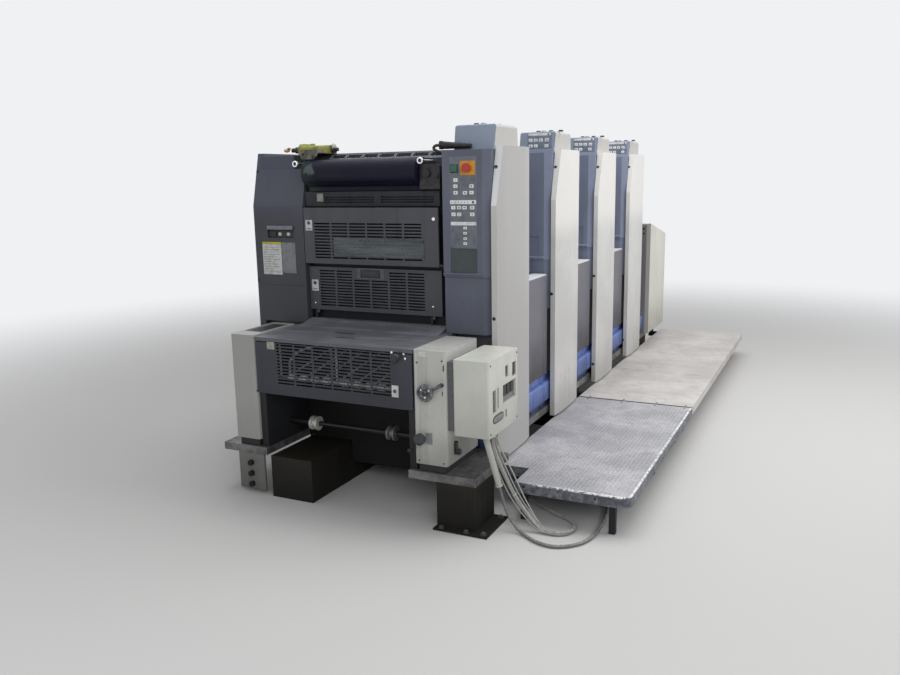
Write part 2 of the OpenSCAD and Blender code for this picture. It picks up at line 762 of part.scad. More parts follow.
module box_gasket() placed() color("black")
    block([right_post_end, front_y + 14, box_low + 14], [box_x, front_y + box_long - 10, box_low + box_high - 14]);

module valve_plate() placed() color("lightgray") {
    block([left_post_x + 2, front_y + 4, 22], [left_post_x + 157, front_y + 16, plinth_height]);
    for (z = [50, 105, 160])
        bar_y(left_post_x + 80, front_y - 14, front_y + 4, z, 14);
}

// Hoses from the box to the floor and back up to the bed.
// The sleeve leaves the bottom of the box and leans out; the big hose comes out of it.
sleeve_top = [box_x + 117, front_y + 66, box_low + 6];
sleeve_end = [box_x + 175, front_y + 90, 198];
sleeve_r = 14;
loop_r = 7.5;
bundle_r = 10;
gland_high = 18;
gland_x = cover_in - 53;

// Route of the big hose: it lies on the floor in a loop and goes back under the walkway.
loop_route = [sleeve_end, [819, -307.5, 173], [827, -305, 138], [838, -304, 102], [855, -305, 68], [880, -311, 37],
    [913, -326, 15], [954, -352, 8], [1000, -382, 8], [1045, -400, 8], [1090, -403, 8], [1130, -387, 8],
    [1165, -358, 8], [1194, -318, 8], [1213, -260, 8], [1219, -190, 8], [1218, -110, 8], [1212, -20, 8],
    [1196, 74, 8], [1155, 165, 8], [1085, 232, 8], [990, 266, 8], [880, 276, 8], [780, 276, 8], [710, 272, 8],
    [gland_x + 60, 267, 14], [gland_x + 22, 262, 44], [gland_x + 4, 260, 90], [gland_x, 260, 135],
    [gland_x, 260, plinth_height - gland_high]];

// Route of the bundle: from its gland under the box, past the front corner of the walkway.
bundle_route = [[780, -300, box_low - gland_high], [780, -300, 392], [790, -300, 352], [806, -299, 310],
    [824, -296, 268], [843, -290, 222], [863, -283, 176], [888, -278, 132], [918, -275, 90], [953, -275, 50],
    [988, -278, 22], [1026, -285, 11], [1066, -284, 11], [1102, -261, 11], [1120, -218, 11], [1112, -168, 11],
    [1078, -126, 11], [1016, -88, 11], [936, -40, 11], [856, 14, 11], [776, 66, 11], [704, 106, 11],
    [gland_x + 56, 131, 20], [gland_x + 22, 148, 50], [gland_x + 5, 154, 94], [gland_x, 155, 140],
    [gland_x, 155, plinth_height - gland_high]];

function unit(v) = v / norm(v);

// Points of a smooth curve through a route, k to each of its stretches.
function between(p, i, t) =
    let (a = p[max(i - 1, 0)], b = p[i], c = p[i + 1], d = p[min(i + 2, len(p) - 1)])
    0.5 * (2 * b + (c - a) * t + (2 * a - 5 * b + 4 * c - d) * t * t + (3 * b - a - 3 * c + d) * t * t * t);
function smooth(p, k) = concat([for (i = [0:len(p) - 2], j = [0:k - 1]) between(p, i, j / k)], [p[len(p) - 1]]);

// Direction of the curve at each point, and a side direction carried along it without twist.
function headings(c) = [for (i = [0:len(c) - 1]) unit(c[min(i + 1, len(c) - 1)] - c[max(i - 1, 0)])];
function sides(t, i, s) = i == len(t) ? [] :
    let (n = unit(s - (s * t[i]) * t[i])) concat([n], sides(t, i + 1, n));

// A tube of radius r along a route, never lower than the floor.
module tube(route, k, r, edges) {
    line = [for (p = smooth(route, k)) [p[0], p[1], max(p[2], r)]];
    t = headings(line);
    s = sides(t, 0, [0, 1, 0.01]);
    rings = len(line);
    points = [for (i = [0:rings - 1], e = [0:edges - 1])
        let (a = 360 * e / edges) line[i] + r * (cos(a) * s[i] + sin(a) * cross(t[i], s[i]))];
    walls = [for (i = [0:rings - 2], e = [0:edges - 1])
        let (f = (e + 1) % edges) [i * edges + e, (i + 1) * edges + e, (i + 1) * edges + f, i * edges + f]];
    polyhedron(points, concat([[for (e = [0:edges - 1]) e]], walls,
        [[for (e = [edges - 1:-1:0]) (rings - 1) * edges + e]]));
}

module gland(x, y, z0, z1, r) {
    bar_z(x, y, z0, z1, r);
}

module hose_fittings() placed() color("lightgray") {
    difference() {
        union() {
            rod(sleeve_top, sleeve_end, sleeve_r);
            rod(sleeve_end - 10 * unit(sleeve_end - sleeve_top), sleeve_end, sleeve_r + 3);
        }
        block(sleeve_top - [40, 40, 6], sleeve_top + [40, 40, 40]);
    }
    gland(bundle_route[0][0], bundle_route[0][1], box_low - gland_high, box_low, bundle_r + 5);
    for (p = [loop_route[len(loop_route) - 1], bundle_route[len(bundle_route) - 1]])
        gland(p[0], p[1], p[2], plinth_height, bundle_r + 5);
}

module hose_loop() placed() color("dimgray") tube(loop_route, 1, loop_r, 10);

module hose_bundle() placed() color("dimgray") tube(bundle_route, 1, bundle_r, 10);

// Walkway along the operator's side
deck_in = half_width - 15;
deck_notch = box_end + 33;
deck_corner = 50;
deck_seam = 1330;
deck_post = 28;

module deck_shell(y0, y1, notch, corner) {
    difference() {
        linear_extrude(deck_edge) deck_plan(y0, y1, notch, corner, 0);
        translate([0, 0, -1]) linear_extrude(deck_edge - deck_plate + 1)
            deck_plan(y0, y1, notch, corner, deck_plate);
    }
}

// Plan of a walkway section, drawn in by a wall: the front section steps round the box.
module deck_plan(y0, y1, notch, corner, wall)
    polygon(concat([[deck_in + wall, y1 - wall], [deck_in + wall, (notch ? 0 : y0) + wall]],
        notch ? [[deck_notch + wall, wall], [deck_notch + wall, y0 + wall]] : [],
        arc([deck_out - corner, y0 + corner], corner - wall, 270, 360, 6),
        [[deck_out - wall, y1 - wall]]));

module front_deck() placed() color("silver")
    translate([0, 0, deck_top - deck_edge]) deck_shell(-deck_reach, deck_seam - seat, true, deck_corner);

module rear_deck() placed() color("silver")
    translate([0, 0, deck_top - deck_edge]) deck_shell(deck_seam, feeder_end, false, deck_plate + 1);

// Legs, and arms that carry the inner edge from under the bed plate.
leg_inset = 66;
arm_y = [unit_depth - 100, deck_seam - 150, deck_seam + 100, feeder_end - 150];
outer_y = [-deck_reach + 16, unit_depth + 195, deck_seam - 150, deck_seam + 100, feeder_end - 150];

module deck_leg(x, y)
    block([x, y, 0], [x + deck_post, y + deck_post, deck_top - deck_plate]);

module deck_legs() placed() color("black") {
    for (y = outer_y)
        deck_leg(deck_out - leg_inset - deck_post, y);
    deck_leg(deck_notch + 22, -deck_reach + 16);
    for (y = arm_y) {
        deck_leg(deck_in + 20, y);
        block([frame_edge - 45, y, deck_top - deck_edge + 10], [deck_in, y + deck_post, deck_top - 2]);
        block([frame_edge - 45, y, deck_top - deck_edge + 10], [frame_edge - 9, y + deck_post, plinth_height]);
    }
}

// Feeder
cheek_bevel = 26;

module cheek(side) {
    mirror([side < 0 ? 1 : 0, 0, 0]) translate([0, feeder_y, 0]) intersection() {
        translate([0, 0, bed_top]) linear_extrude(feeder_top - bed_top)
            polygon([[half_width - cheek_wide, 0], [half_width - cheek_bevel, 0], [half_width, cheek_bevel],
                [half_width, feeder_long], [half_width - cheek_wide, feeder_long]]);
        across(half_width - cheek_wide, half_width)
            polygon(concat([[0, bed_top]], arc([20, feeder_top - 20], 20, 180, 90),
                [[feeder_long, feeder_rear_top], [feeder_long, bed_top]]));
    }
}

module feeder_operator_cheek() placed() color("gainsboro") cheek(1);

module feeder_drive_cheek() placed() color("gainsboro") cheek(-1);

// Feed board: it rises from the last unit to the suction head.
board_half = 400;
board_rise = 100;
board_thick = 20;
board_end = feeder_y + 230;
board_start = unit_y(unit_count) + unit_depth;

module feed_board() placed() color("silver")
    across(-board_half, board_half)
        polygon([[board_start, feed_height], [board_end, feed_height + board_rise],
            [board_end, feed_height + board_rise + board_thick], [board_start, feed_height + board_thick]]);

// Suction head: its beam runs from cheek to cheek, with the head and two blower arms on it.
beam_y = board_end + 20;
beam_z = feed_height + 110;
beam_high = 44;
beam_deep = 60;
head_half = 230;
blower_x = 300;
inner_half = half_width - cheek_wide;

module feeder_head() placed() color("dimgray") {
    block([-inner_half, beam_y, beam_z], [inner_half, beam_y + beam_deep, beam_z + beam_high]);
    across(-head_half, head_half) polygon(concat([[beam_y - 10, beam_z + beam_high]],
        arc([beam_y + 30, beam_z + 130], 40, 180, 90), arc([beam_y + 110, beam_z + 130], 40, 90, 0),
        [[beam_y + 150, beam_z + beam_high], [beam_y + beam_deep, beam_z + beam_high]],
        [[beam_y + beam_deep, beam_z + beam_high - 1], [beam_y, beam_z + beam_high - 1],
        [beam_y, beam_z + beam_high]]));
    for (x = [-blower_x, blower_x])
        block([x - 14, beam_y + 10, beam_z + beam_high - 1], [x + 14, beam_y + 50, beam_z + 90]);
}

pile_lift = 193;

module feeder_pile_board() placed() color("silver") {
    block([-300, feeder_y + 60, bed_top + pile_lift + seat], [300, feeder_end - 20, bed_top + pile_lift + 30]);
    block([-200, feeder_y + 70, bed_top], [200, feeder_end - 40, bed_top + pile_lift + seat]);
}

front_plinths();
rear_plinths();
bed_plate();
base_frame();
housing(1);  // unit_1_housing
housing(2);  // unit_2_housing
housing(3);  // unit_3_housing
housing(4);  // unit_4_housing
unit_cover(1);  // unit_1_cover
unit_cover(2);  // unit_2_cover
unit_cover(3);  // unit_3_cover
unit_cover(4);  // unit_4_cover
drive_cover(1);  // unit_1_drive_cover
drive_cover(2);  // unit_2_drive_cover
drive_cover(3);  // unit_3_drive_cover
drive_cover(4);  // unit_4_drive_cover
column(1);  // unit_1_column
column(2);  // unit_2_column
column(3);  // unit_3_column
column(4);  // unit_4_column
top_boxes();
ink_hoods();
inner_guards();
kick_panels();
transfer_covers();
roller_cover();
roller_bracket();
roller_tray();
rest_fittings();
ink_casting();
column_conduit();
upper_guard();
guard_window();
lower_guard();
hinge_brackets();
delivery_table();
left_post();
control_post();
delivery_legs();
delivery_guard();
pile_back();
pile_hoist();
crank_wheel();
adjusting_knob();
emergency_stop();
electrical_box();
box_gasket();
valve_plate();
hose_fittings();
hose_loop();
hose_bundle();
front_deck();
rear_deck();
deck_legs();
feeder_operator_cheek();
feeder_drive_cheek();
feed_board();
feeder_head();
feeder_pile_board();
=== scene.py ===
"""Looks of a four-unit sheet-fed offset press on its plinths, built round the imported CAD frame."""
import math

import bmesh
import bpy
import numpy as np
from mathutils import Matrix, Vector


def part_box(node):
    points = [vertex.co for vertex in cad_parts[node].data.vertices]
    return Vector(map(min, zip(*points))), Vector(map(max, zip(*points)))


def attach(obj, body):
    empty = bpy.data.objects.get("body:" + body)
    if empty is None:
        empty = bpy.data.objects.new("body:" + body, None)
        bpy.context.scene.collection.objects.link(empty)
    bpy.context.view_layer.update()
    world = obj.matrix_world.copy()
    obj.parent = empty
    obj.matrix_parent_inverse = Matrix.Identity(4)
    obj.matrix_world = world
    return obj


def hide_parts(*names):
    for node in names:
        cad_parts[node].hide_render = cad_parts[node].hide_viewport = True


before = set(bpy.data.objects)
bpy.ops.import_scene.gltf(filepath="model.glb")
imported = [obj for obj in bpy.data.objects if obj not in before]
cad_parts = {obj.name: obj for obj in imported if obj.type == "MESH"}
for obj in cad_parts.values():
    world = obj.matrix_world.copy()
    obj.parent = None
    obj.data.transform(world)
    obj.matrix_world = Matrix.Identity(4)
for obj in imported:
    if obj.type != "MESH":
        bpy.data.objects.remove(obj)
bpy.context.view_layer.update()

# The press's own axes
# Places are given in metres from the middle plane of the machine, from the front plane of its
# first printing unit and from the floor; the first unit's operator-side cover fixes both planes.
half_width = 0.690
side_cover_low, side_cover_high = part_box("unit_1_cover")
middle_x = side_cover_high.x - half_width
front_plane_y = side_cover_low.y
unit_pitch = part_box("unit_2_cover")[0].y - front_plane_y
units = range(1, 5)


def at(points):
    """Points of the press in the frame: the middle and front planes are added to x and y."""
    return np.asarray(points, float) + np.array([middle_x, front_plane_y, 0.0])


def color(red, green, blue):
    """A colour from 0 to 255 as the eye reads it, as the linear colour that a node takes."""
    share = np.array([red, green, blue]) / 255
    linear = np.where(share <= 0.04045, share / 12.92, ((share + 0.055) / 1.055) ** 2.4)
    return (*linear.tolist(), 1.0)


# Plinths
# Welded steel boxes lift the press off the floor. Years of oil and dust have turned their olive
# enamel almost black; hexagon bolts hold the foot plates down.
class Value:
    """A node socket in Python sums: an operator on it adds the Math node that works it out."""

    def __init__(self, finish, socket):
        self.finish = finish
        self.socket = socket

    def calculate(self, operation, first, second=0.0, limit=False):
        settings = {"operation": operation, "use_clamp": limit}
        return self.finish.node("ShaderNodeMath", settings, {0: first, 1: second})

    def __add__(self, other):
        return self.calculate("ADD", self, other)

    def __sub__(self, other):
        return self.calculate("SUBTRACT", self, other)

    def __rsub__(self, other):
        return self.calculate("SUBTRACT", other, self)

    def __mul__(self, other):
        return self.calculate("MULTIPLY", self, other)

    def __truediv__(self, other):
        return self.calculate("DIVIDE", self, other)

    def __pow__(self, other):
        return self.calculate("POWER", self, other)

    def __gt__(self, other):
        return self.calculate("GREATER_THAN", self, other)

    __radd__ = __add__
    __rmul__ = __mul__

    def limited(self):
        return self.calculate("ADD", self, limit=True)

    def larger(self, other):
        return self.calculate("MAXIMUM", self, other)

    def size(self):
        return self.calculate("ABSOLUTE", self)

    def whole(self):
        return self.calculate("FLOOR", self)


class Finish:
    """A surface finish being mixed: its Principled shader, and one method that adds any node."""

    def __init__(self, name, **fixed):
        self.material = bpy.data.materials.new(name)
        self.material.use_nodes = True
        self.tree = self.material.node_tree
        self.shader = self.tree.nodes["Principled BSDF"]
        for socket, value in fixed.items():
            self.shader.inputs[socket.replace("_", " ")].default_value = value

    def join(self, socket, value):
        if isinstance(value, Value):
            self.tree.links.new(value.socket, socket)
        else:
            socket.default_value = value

    def node(self, kind, settings=None, values=None, out=0):
        """Adds a node: its settings first, then the values or links of its sockets."""
        made = self.tree.nodes.new(kind)
        for name, value in (settings or {}).items():
            setattr(made, name, value)
        for name, value in (values or {}).items():
            self.join(made.inputs[name], value)
        return Value(self, made.outputs[out])

    def ramp(self, value, low, high, out_low=0.0, out_high=1.0):
        """A smooth step from out_low at low to out_high at high."""
        settings = {"interpolation_type": "SMOOTHSTEP", "clamp": True}
        limits = {"From Min": low, "From Max": high, "To Min": out_low, "To Max": out_high}
        return self.node("ShaderNodeMapRange", settings, {"Value": value, **limits})

    def mix(self, under, over, share):
        """One colour laid over another."""
        return self.node("ShaderNodeMix", {"data_type": "RGBA"}, {0: share, 6: under, 7: over}, out=2)

    def place(self, stretch=(1, 1, 1)):
        """The point on the press in metres, stretched along its axes."""
        point = self.node("ShaderNodeTexCoord", out="Object")
        return self.node("ShaderNodeMapping", None, {"Vector": point, "Scale": stretch})

    def axis(self, name):
        """One coordinate of the point, in the frame's metres."""
        return self.node("ShaderNodeSeparateXYZ", None, {0: self.place()}, out=name)

    def facing(self, name):
        """How far the surface faces along an axis, from -1 to 1."""
        normal = self.node("ShaderNodeNewGeometry", out="Normal")
        return self.node("ShaderNodeSeparateXYZ", None, {0: normal}, out=name)

    def noise(self, scale, detail=3.0, stretch=(1, 1, 1), rough=0.55):
        """Cloudy noise from 0 to 1, scale to the metre."""
        values = {"Vector": self.place(stretch), "Scale": scale, "Detail": detail, "Roughness": rough}
        return self.node("ShaderNodeTexNoise", None, values)

    def edges(self, radius):
        """Share of edge: how far the surface's direction differs from the one that it has when
        its corners are eased over a radius. It masks rubbed edges and also painted edge highlights."""
        eased = self.node("ShaderNodeBevel", {"samples": 4}, {"Radius": radius})
        own = self.node("ShaderNodeNewGeometry", out="Normal")
        product = {"operation": "DOT_PRODUCT"}
        same = self.node("ShaderNodeVectorMath", product, {0: eased, 1: own}, out="Value")
        return self.ramp(same, 0.995, 0.9)

    def set(self, **links):
        """Joins what changes over the surface to the shader."""
        for socket, value in links.items():
            self.join(self.shader.inputs[socket.replace("_", " ")], value)
        return self

    def lay(self, over, share):
        """Lays a tone, or a colour that varies, over the paint mixed so far, by a share."""
        paint = Value(self, self.shader.inputs["Base Color"].links[0].from_socket)
        over = over if isinstance(over, Value) else color(*over)
        return self.set(Base_Color=self.mix(paint, over, share))

    def relief(self, height, depth, edge=0.0):
        """Raises the surface by a height of the given depth in metres, with edges eased over a radius."""
        values = {"Height": height, "Distance": depth, "Strength": 1.0}
        if edge:
            values["Normal"] = self.node("ShaderNodeBevel", {"samples": 4}, {"Radius": edge})
        return self.set(Normal=self.node("ShaderNodeBump", None, values))


def enamel(name, paint, rough=0.42, dirt=(70, 66, 60), low=0.0, dirty=0.25, streaks=0.12, chips=0.0,
           chip=(150, 150, 146), grain=0.00006, coat=0.0):
    """Sprayed enamel on sheet steel: a slight orange peel, cloudy fading, streaks that run down,
    grime that grows towards the height low, scuffs where hands reach, and edges rubbed to the metal."""
    made = Finish(name, Coat_Weight=coat, Coat_Roughness=0.2, Specular_IOR_Level=0.28)
    clouds = made.noise(2.3, 5.0)
    runs = made.noise(26.0, 3.0, stretch=(1, 1, 0.035))
    smears = made.noise(9.0, 6.0, rough=0.7)
    scuffs = made.ramp(smears, 0.56, 0.74)
    height = made.axis("Z")
    grime = made.ramp(height + (made.noise(7.0, 4.0) - 0.5) * 0.22, low + 0.30, low - 0.02)
    streaked = made.ramp(runs, 0.5, 0.8) * streaks * made.ramp(clouds, 0.35, 0.65)
    share = (grime * dirty + streaked).limited()
    brighter = [min(255, c * 1.06 + 3) for c in paint]
    faded = made.mix(color(*paint), color(*brighter), made.ramp(clouds, 0.35, 0.7))
    soiled = made.mix(faded, color(*dirt), share)
    surface = made.mix(soiled, color(*[c * 0.86 for c in paint]), scuffs * 0.35)
    if chips:
        bare = made.edges(0.0022) * made.ramp(smears, 0.42, 0.6) * chips
        surface = made.mix(surface, color(*chip), bare)
    made.set(Base_Color=surface, Roughness=rough + share * 0.3 + scuffs * 0.1)
    return made.relief(made.noise(420.0, 2.0), grain, edge=0.0025)


def dress(finish, *nodes):
    """Gives CAD nodes their finish."""
    for node in nodes:
        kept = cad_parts[node].material_slots
        for slot in kept:
            slot.material = finish.material
        if not kept:
            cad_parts[node].data.materials.append(finish.material)


def quads(rows, columns, around=False):
    """Faces of a grid of points; around joins its last column to its first."""
    index = np.arange(rows * columns).reshape(rows, columns)
    if around:
        index = np.hstack([index, index[:, :1]])
    corners = [index[:-1, :-1], index[:-1, 1:], index[1:, 1:], index[1:, :-1]]
    return np.stack(corners, axis=-1).reshape(-1, 4).tolist()


def closed_skin(rings):
    """A closed skin over rings of points: quads from each ring to the next, and a flat face over
    the first ring and the last."""
    rings = np.asarray(rings)
    count, sides = rings.shape[:2]
    ends = [list(range(sides))[::-1], list(range((count - 1) * sides, count * sides))]
    return rings.reshape(-1, 3), quads(count, sides, around=True) + ends


def turned(shape, facing):
    """Lays a shape made flat, in u and v and standing out along w, on a face of the press: front
    looks to the delivery, side to the operator and top up."""
    points, faces = shape
    u, v, w = points.T
    ways = {"front": (u, -w, v), "side": (w, u, v), "top": (u, v, w)}
    return np.stack(ways[facing], axis=1), faces


def lathed(centre, profile, facing="front", sides=32):
    """A turned piece: its profile, pairs of radius and height along w, carried round its axis."""
    profile = np.asarray(profile, float)
    angle = np.linspace(0, 2 * np.pi, sides, endpoint=False)
    u = centre[0] + profile[:, :1] * np.cos(angle)
    v = centre[1] + profile[:, :1] * np.sin(angle)
    w = profile[:, 1:] + 0 * angle
    return turned(closed_skin(np.stack([u, v, w], axis=-1)), facing)


def add_piece(name, shapes, finish, body="machine", smooth=True, replaces=()):
    """Joins shapes, each its points and faces, into one mesh that rides on a body of the press."""
    starts = np.cumsum([0] + [len(points) for points, _ in shapes])
    faces = [[start + i for i in face] for start, (_, part) in zip(starts, shapes) for face in part]
    mesh = bpy.data.meshes.new(name)
    mesh.from_pydata(at(np.vstack([points for points, _ in shapes])).tolist(), [], faces)
    mesh.materials.append(finish.material)
    mesh.polygons.foreach_set("use_smooth", [smooth] * len(mesh.polygons))
    work = bmesh.new()
    work.from_mesh(mesh)
    bmesh.ops.recalc_face_normals(work, faces=work.faces)
    work.to_mesh(mesh)
    work.free()
    if smooth:
        mesh.set_sharp_from_angle(angle=math.radians(38))
    piece = bpy.data.objects.new(name, mesh)
    bpy.context.scene.collection.objects.link(piece)
    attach(piece, body)
    if replaces:
        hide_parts(*replaces)
    return piece


plinth_enamel = enamel("oily_olive", (31, 29, 23), rough=0.5, dirt=(14, 13, 11), dirty=0.85, streaks=0.5,
                       chips=0.5, chip=(86, 82, 70))
dress(plinth_enamel, "front_plinths", "rear_plinths")

bolt_steel = Finish("bolt_steel", Metallic=0.8)
bolt_oil = bolt_steel.noise(70.0, 3.0)
bolt_steel.set(Base_Color=bolt_steel.mix(color(52, 48, 42), color(128, 124, 116), bolt_oil),
               Roughness=0.65 - bolt_oil * 0.25)


def hex_bolt(centre, base, across):
    """A hexagon bolt on its washer: both turned, the head with six sides and a chamfered crown."""
    washer = [(across * 0.85, base - 0.001), (across * 0.85, base + 0.0016), (across * 0.4, base + 0.0016)]
    head = [(across * 0.56, base + 0.001), (across * 0.56, base + across * 0.55),
            (across * 0.46, base + across * 0.64)]
    return [lathed(centre, washer, "top", 24), lathed(centre, head, "top", 6)]


foot_plate = 0.008
bolt_across = 0.018
foot_places = [(0.778, -0.412), (0.778, -0.212), (0.580, -0.420), (0.700, -0.420)]
foot_bolts = sum([hex_bolt(spot, foot_plate, bolt_across) for spot in foot_places], [])
add_piece("foot_bolts", foot_bolts, bolt_steel, smooth=False)


# Bed plate and base
# The bed plate is a thick machined plate, grey with worn-in dirt. The cast base beam on it carries
# the printing units; its blue enamel is rubbed and blackened along the ledge.
bed_finish = Finish("dirty_bed", Metallic=0.25)
bed_wear = bed_finish.ramp(bed_finish.noise(5.0, 8.0, rough=0.7), 0.36, 0.66)
bed_rim = bed_finish.edges(0.003) * 0.5
bed_finish.set(Base_Color=bed_finish.mix(color(62, 62, 61), color(126, 126, 125), bed_wear),
               Roughness=0.62 - bed_wear * 0.2)
bed_finish.lay((164, 164, 160), bed_rim)
bed_finish.relief(bed_finish.noise(160.0, 4.0), 0.00015, edge=0.002)
dress(bed_finish, "bed_plate")

blue_enamel = enamel("blue_enamel", (102, 122, 182), rough=0.36, dirt=(30, 33, 44), low=0.16, dirty=0.9,
                     streaks=0.6, chips=0.7, chip=(150, 160, 186))
dress(blue_enamel, "base_frame")


# Printing units
# Each unit is a housing closed by a pale enamelled cover on the operator's side and a charcoal one
# on the drive side, with a slatted hood over its ink rollers. The side covers are sheet steel held
# by small black quarter-turn locks in their front edges.
pale_enamel = enamel("pale_enamel", (198, 197, 194), rough=0.34, dirt=(112, 108, 100), low=0.19, dirty=0.4,
                     streaks=0.12, chips=0.25, chip=(120, 120, 118), coat=0.15)
pale_front = pale_enamel.ramp(pale_enamel.facing("Y"), -0.5, -0.9)
leaning = pale_enamel.ramp(pale_enamel.facing("Z"), 0.12, 0.2) * pale_front
past_first = pale_enamel.ramp(pale_enamel.axis("Y") - front_plane_y, 0.5, 0.8)
painted_far_side_sheen = pale_enamel.ramp(pale_enamel.axis("Z"), 1.14, 1.32) * past_first
painted_first_side_shade = pale_enamel.ramp(pale_enamel.facing("X"), 0.5, 0.9) * (1 - past_first)
# Painted highlight: front faces that lean back and look up are painted near white, as lit from above.
pale_enamel.lay((238, 239, 241), leaning * 0.85)
# Painted reflection: the upper sides of units 2 to 4 are painted lighter, as a sheen of window light.
pale_enamel.lay((236, 234, 229), painted_far_side_sheen * 0.85)
# Painted shade: the first unit's operator side is painted darker than the same enamel elsewhere.
pale_enamel.lay((172, 170, 169), painted_first_side_shade * 0.85)
dress(pale_enamel, *[f"unit_{n}_cover" for n in units])

charcoal_enamel = enamel("charcoal_enamel", (78, 79, 84), rough=0.44, dirt=(42, 42, 44), dirty=0.3,
                         streaks=0.35, chips=0.55, chip=(150, 152, 156))
painted_sheen_height = charcoal_enamel.ramp(charcoal_enamel.axis("Z"), 1.28, 1.46)
# Darker below; a bluish painted skylight sheen lies over the upper part.
charcoal_enamel.lay((54, 55, 58), (1 - painted_sheen_height) * 0.35)
charcoal_enamel.lay((86, 92, 110), painted_sheen_height * 0.45)
dress(charcoal_enamel, *[f"unit_{n}_drive_cover" for n in units], "inner_guards", "transfer_covers")

housing_enamel = enamel("housing_enamel", (78, 79, 84), rough=0.5, dirt=(42, 42, 44), dirty=0.3, streaks=0.3)
from_middle = (housing_enamel.axis("X") - middle_x).size()
housing_front = housing_enamel.ramp(housing_enamel.facing("Y"), -0.7, -0.9)
painted_shade_behind_guards = housing_enamel.ramp(from_middle, 0.46, 0.44) * housing_front
# A bluish painted skylight sheen over the upper part, as on the drive covers.
housing_enamel.lay((86, 92, 110), housing_enamel.ramp(housing_enamel.axis("Z"), 1.28, 1.46) * 0.6)
# Painted shade: the housing front behind the guards is painted near black, as the dark of the recess.
housing_enamel.lay((12, 12, 17), painted_shade_behind_guards)
dress(housing_enamel, *[f"unit_{n}_housing" for n in units])

hood_enamel = enamel("hood_enamel", (56, 58, 68), rough=0.4, dirt=(28, 28, 32), streaks=0.3, chips=1.0,
                     chip=(196, 196, 198))
# Pale slat edges: rubbed paint, and on top of it a painted highlight along every edge.
hood_enamel.lay((206, 207, 214), hood_enamel.edges(0.004) * 0.7)
dress(hood_enamel, "ink_hoods")

black_plastic = Finish("black_plastic", Roughness=0.42)
black_dust = black_plastic.ramp(black_plastic.noise(30.0, 4.0), 0.4, 0.7)
black_plastic.set(Base_Color=black_plastic.mix(color(20, 20, 22), color(48, 48, 50), black_dust))
black_plastic.relief(black_plastic.noise(300.0), 0.00005, edge=0.0012)

lean_start = 1.401
lean_rate = 0.065 / 0.268
lock_places = [(1, 0.662, 1.573), (1, 0.664, 0.883), (2, 0.663, 1.575), (2, 0.659, 0.887), (3, 0.663, 1.578),
               (3, 0.661, 0.891), (3, 0.663, 0.310), (4, 0.658, 1.581), (4, 0.653, 0.314)]


def cover_front(unit, high):
    """Distance of a cover's front face along the machine at a height: flat, then leaning back."""
    return (unit - 1) * unit_pitch + max(0.0, high - lean_start) * lean_rate


def quarter_turn_lock(u, v, face):
    """A lock: a shallow dome with a dished middle, and a raised blade across it for the key."""
    dome = [(0.0085, face - 0.004), (0.0085, face + 0.001), (0.0075, face + 0.0022), (0.0055, face + 0.0022),
            (0.0048, face + 0.0008)]
    blade = plate((u - 0.0045, v - 0.001), (u + 0.0045, v + 0.001), face, face + 0.002, 0.0008, 0.0004)
    return [lathed((u, v), dome, sides=20), blade]


def outline(wide, high, corner, steps=5):
    """A rectangle with round corners, its middle at the origin, as points round it."""
    corner = min(corner, wide / 2 - 1e-5, high / 2 - 1e-5)
    turns = np.linspace(0, np.pi / 2, steps + 1)
    angle = np.concatenate([turns + quarter * np.pi / 2 for quarter in range(4)])
    sign_u = np.repeat([1, -1, -1, 1], steps + 1)
    sign_v = np.repeat([1, 1, -1, -1], steps + 1)
    return np.stack([sign_u * (wide / 2 - corner) + corner * np.cos(angle),
                     sign_v * (high / 2 - corner) + corner * np.sin(angle)], axis=1)


def plate(low, high, base, top, corner=0.003, edge=0.0006, facing="front"):
    """A plate with round corners and an eased upper edge: its outline is carried up from base to
    top and drawn in along a quarter circle at the end. low and high are its corners in u and v."""
    (u0, v0), (u1, v1) = low, high
    centre = np.array([(u0 + u1) / 2, (v0 + v1) / 2])
    turns = np.linspace(0, np.pi / 2, 4)
    insets = np.concatenate([[0.0], edge * (1 - np.cos(turns))])
    heights = np.concatenate([[base], top - edge + edge * np.sin(turns)])
    rings = []
    for inset, height in zip(insets, heights):
        ring = centre + outline(u1 - u0 - 2 * inset, v1 - v0 - 2 * inset, max(corner - inset, 1e-4))
        rings.append(np.column_stack([ring, np.full(len(ring), height)]))
    return turned(closed_skin(rings), facing)


cover_locks = sum([quarter_turn_lock(x, z, -cover_front(n, z)) for n, x, z in lock_places], [])
add_piece("cover_locks", cover_locks, black_plastic)


# Drive-side cover of the first unit
# A sunk handle strip holds a black switch block with two pale push buttons, below a painted lip.
# Under it are two bare plates on the sheet, one of them with a yellow upper edge.
def print_card(name, paper, rough=0.5):
    """Bare printed plate, once white: evenly dull, a little yellowed and rubbed at its edges."""
    made = Finish(name, Roughness=rough)
    rubbed = made.ramp(made.noise(38.0, 5.0), 0.42, 0.72)
    made.set(Base_Color=made.mix(color(*paper), color(*[c * 0.84 for c in paper]), rubbed))
    return made


white_card = print_card("white_card", (206, 207, 204))
grey_card = print_card("grey_card", (128, 130, 134))
yellow_card = print_card("yellow_card", (196, 186, 66))
cream_button = print_card("cream_button", (206, 204, 194), rough=0.35)

switch_x = (-0.606, -0.443)
switch_z = (1.2395, 1.2795)
switch_floor = -0.0118
switch_base = plate((switch_x[0], switch_z[0]), (switch_x[1], switch_z[1]), switch_floor, -0.009, 0.002)
switch_rocker = plate((-0.598, 1.2475), (-0.556, 1.2725), -0.010, -0.003, 0.003, 0.001)
add_piece("switch_block", [switch_base, switch_rocker], black_plastic)
button_face = [(0.0095, -0.010), (0.0095, 0.0), (0.0085, 0.001), (0.006, 0.0014)]
switch_buttons = [lathed((x, 1.2585), button_face) for x in (-0.530, -0.477)]
add_piece("switch_buttons", switch_buttons, cream_button)

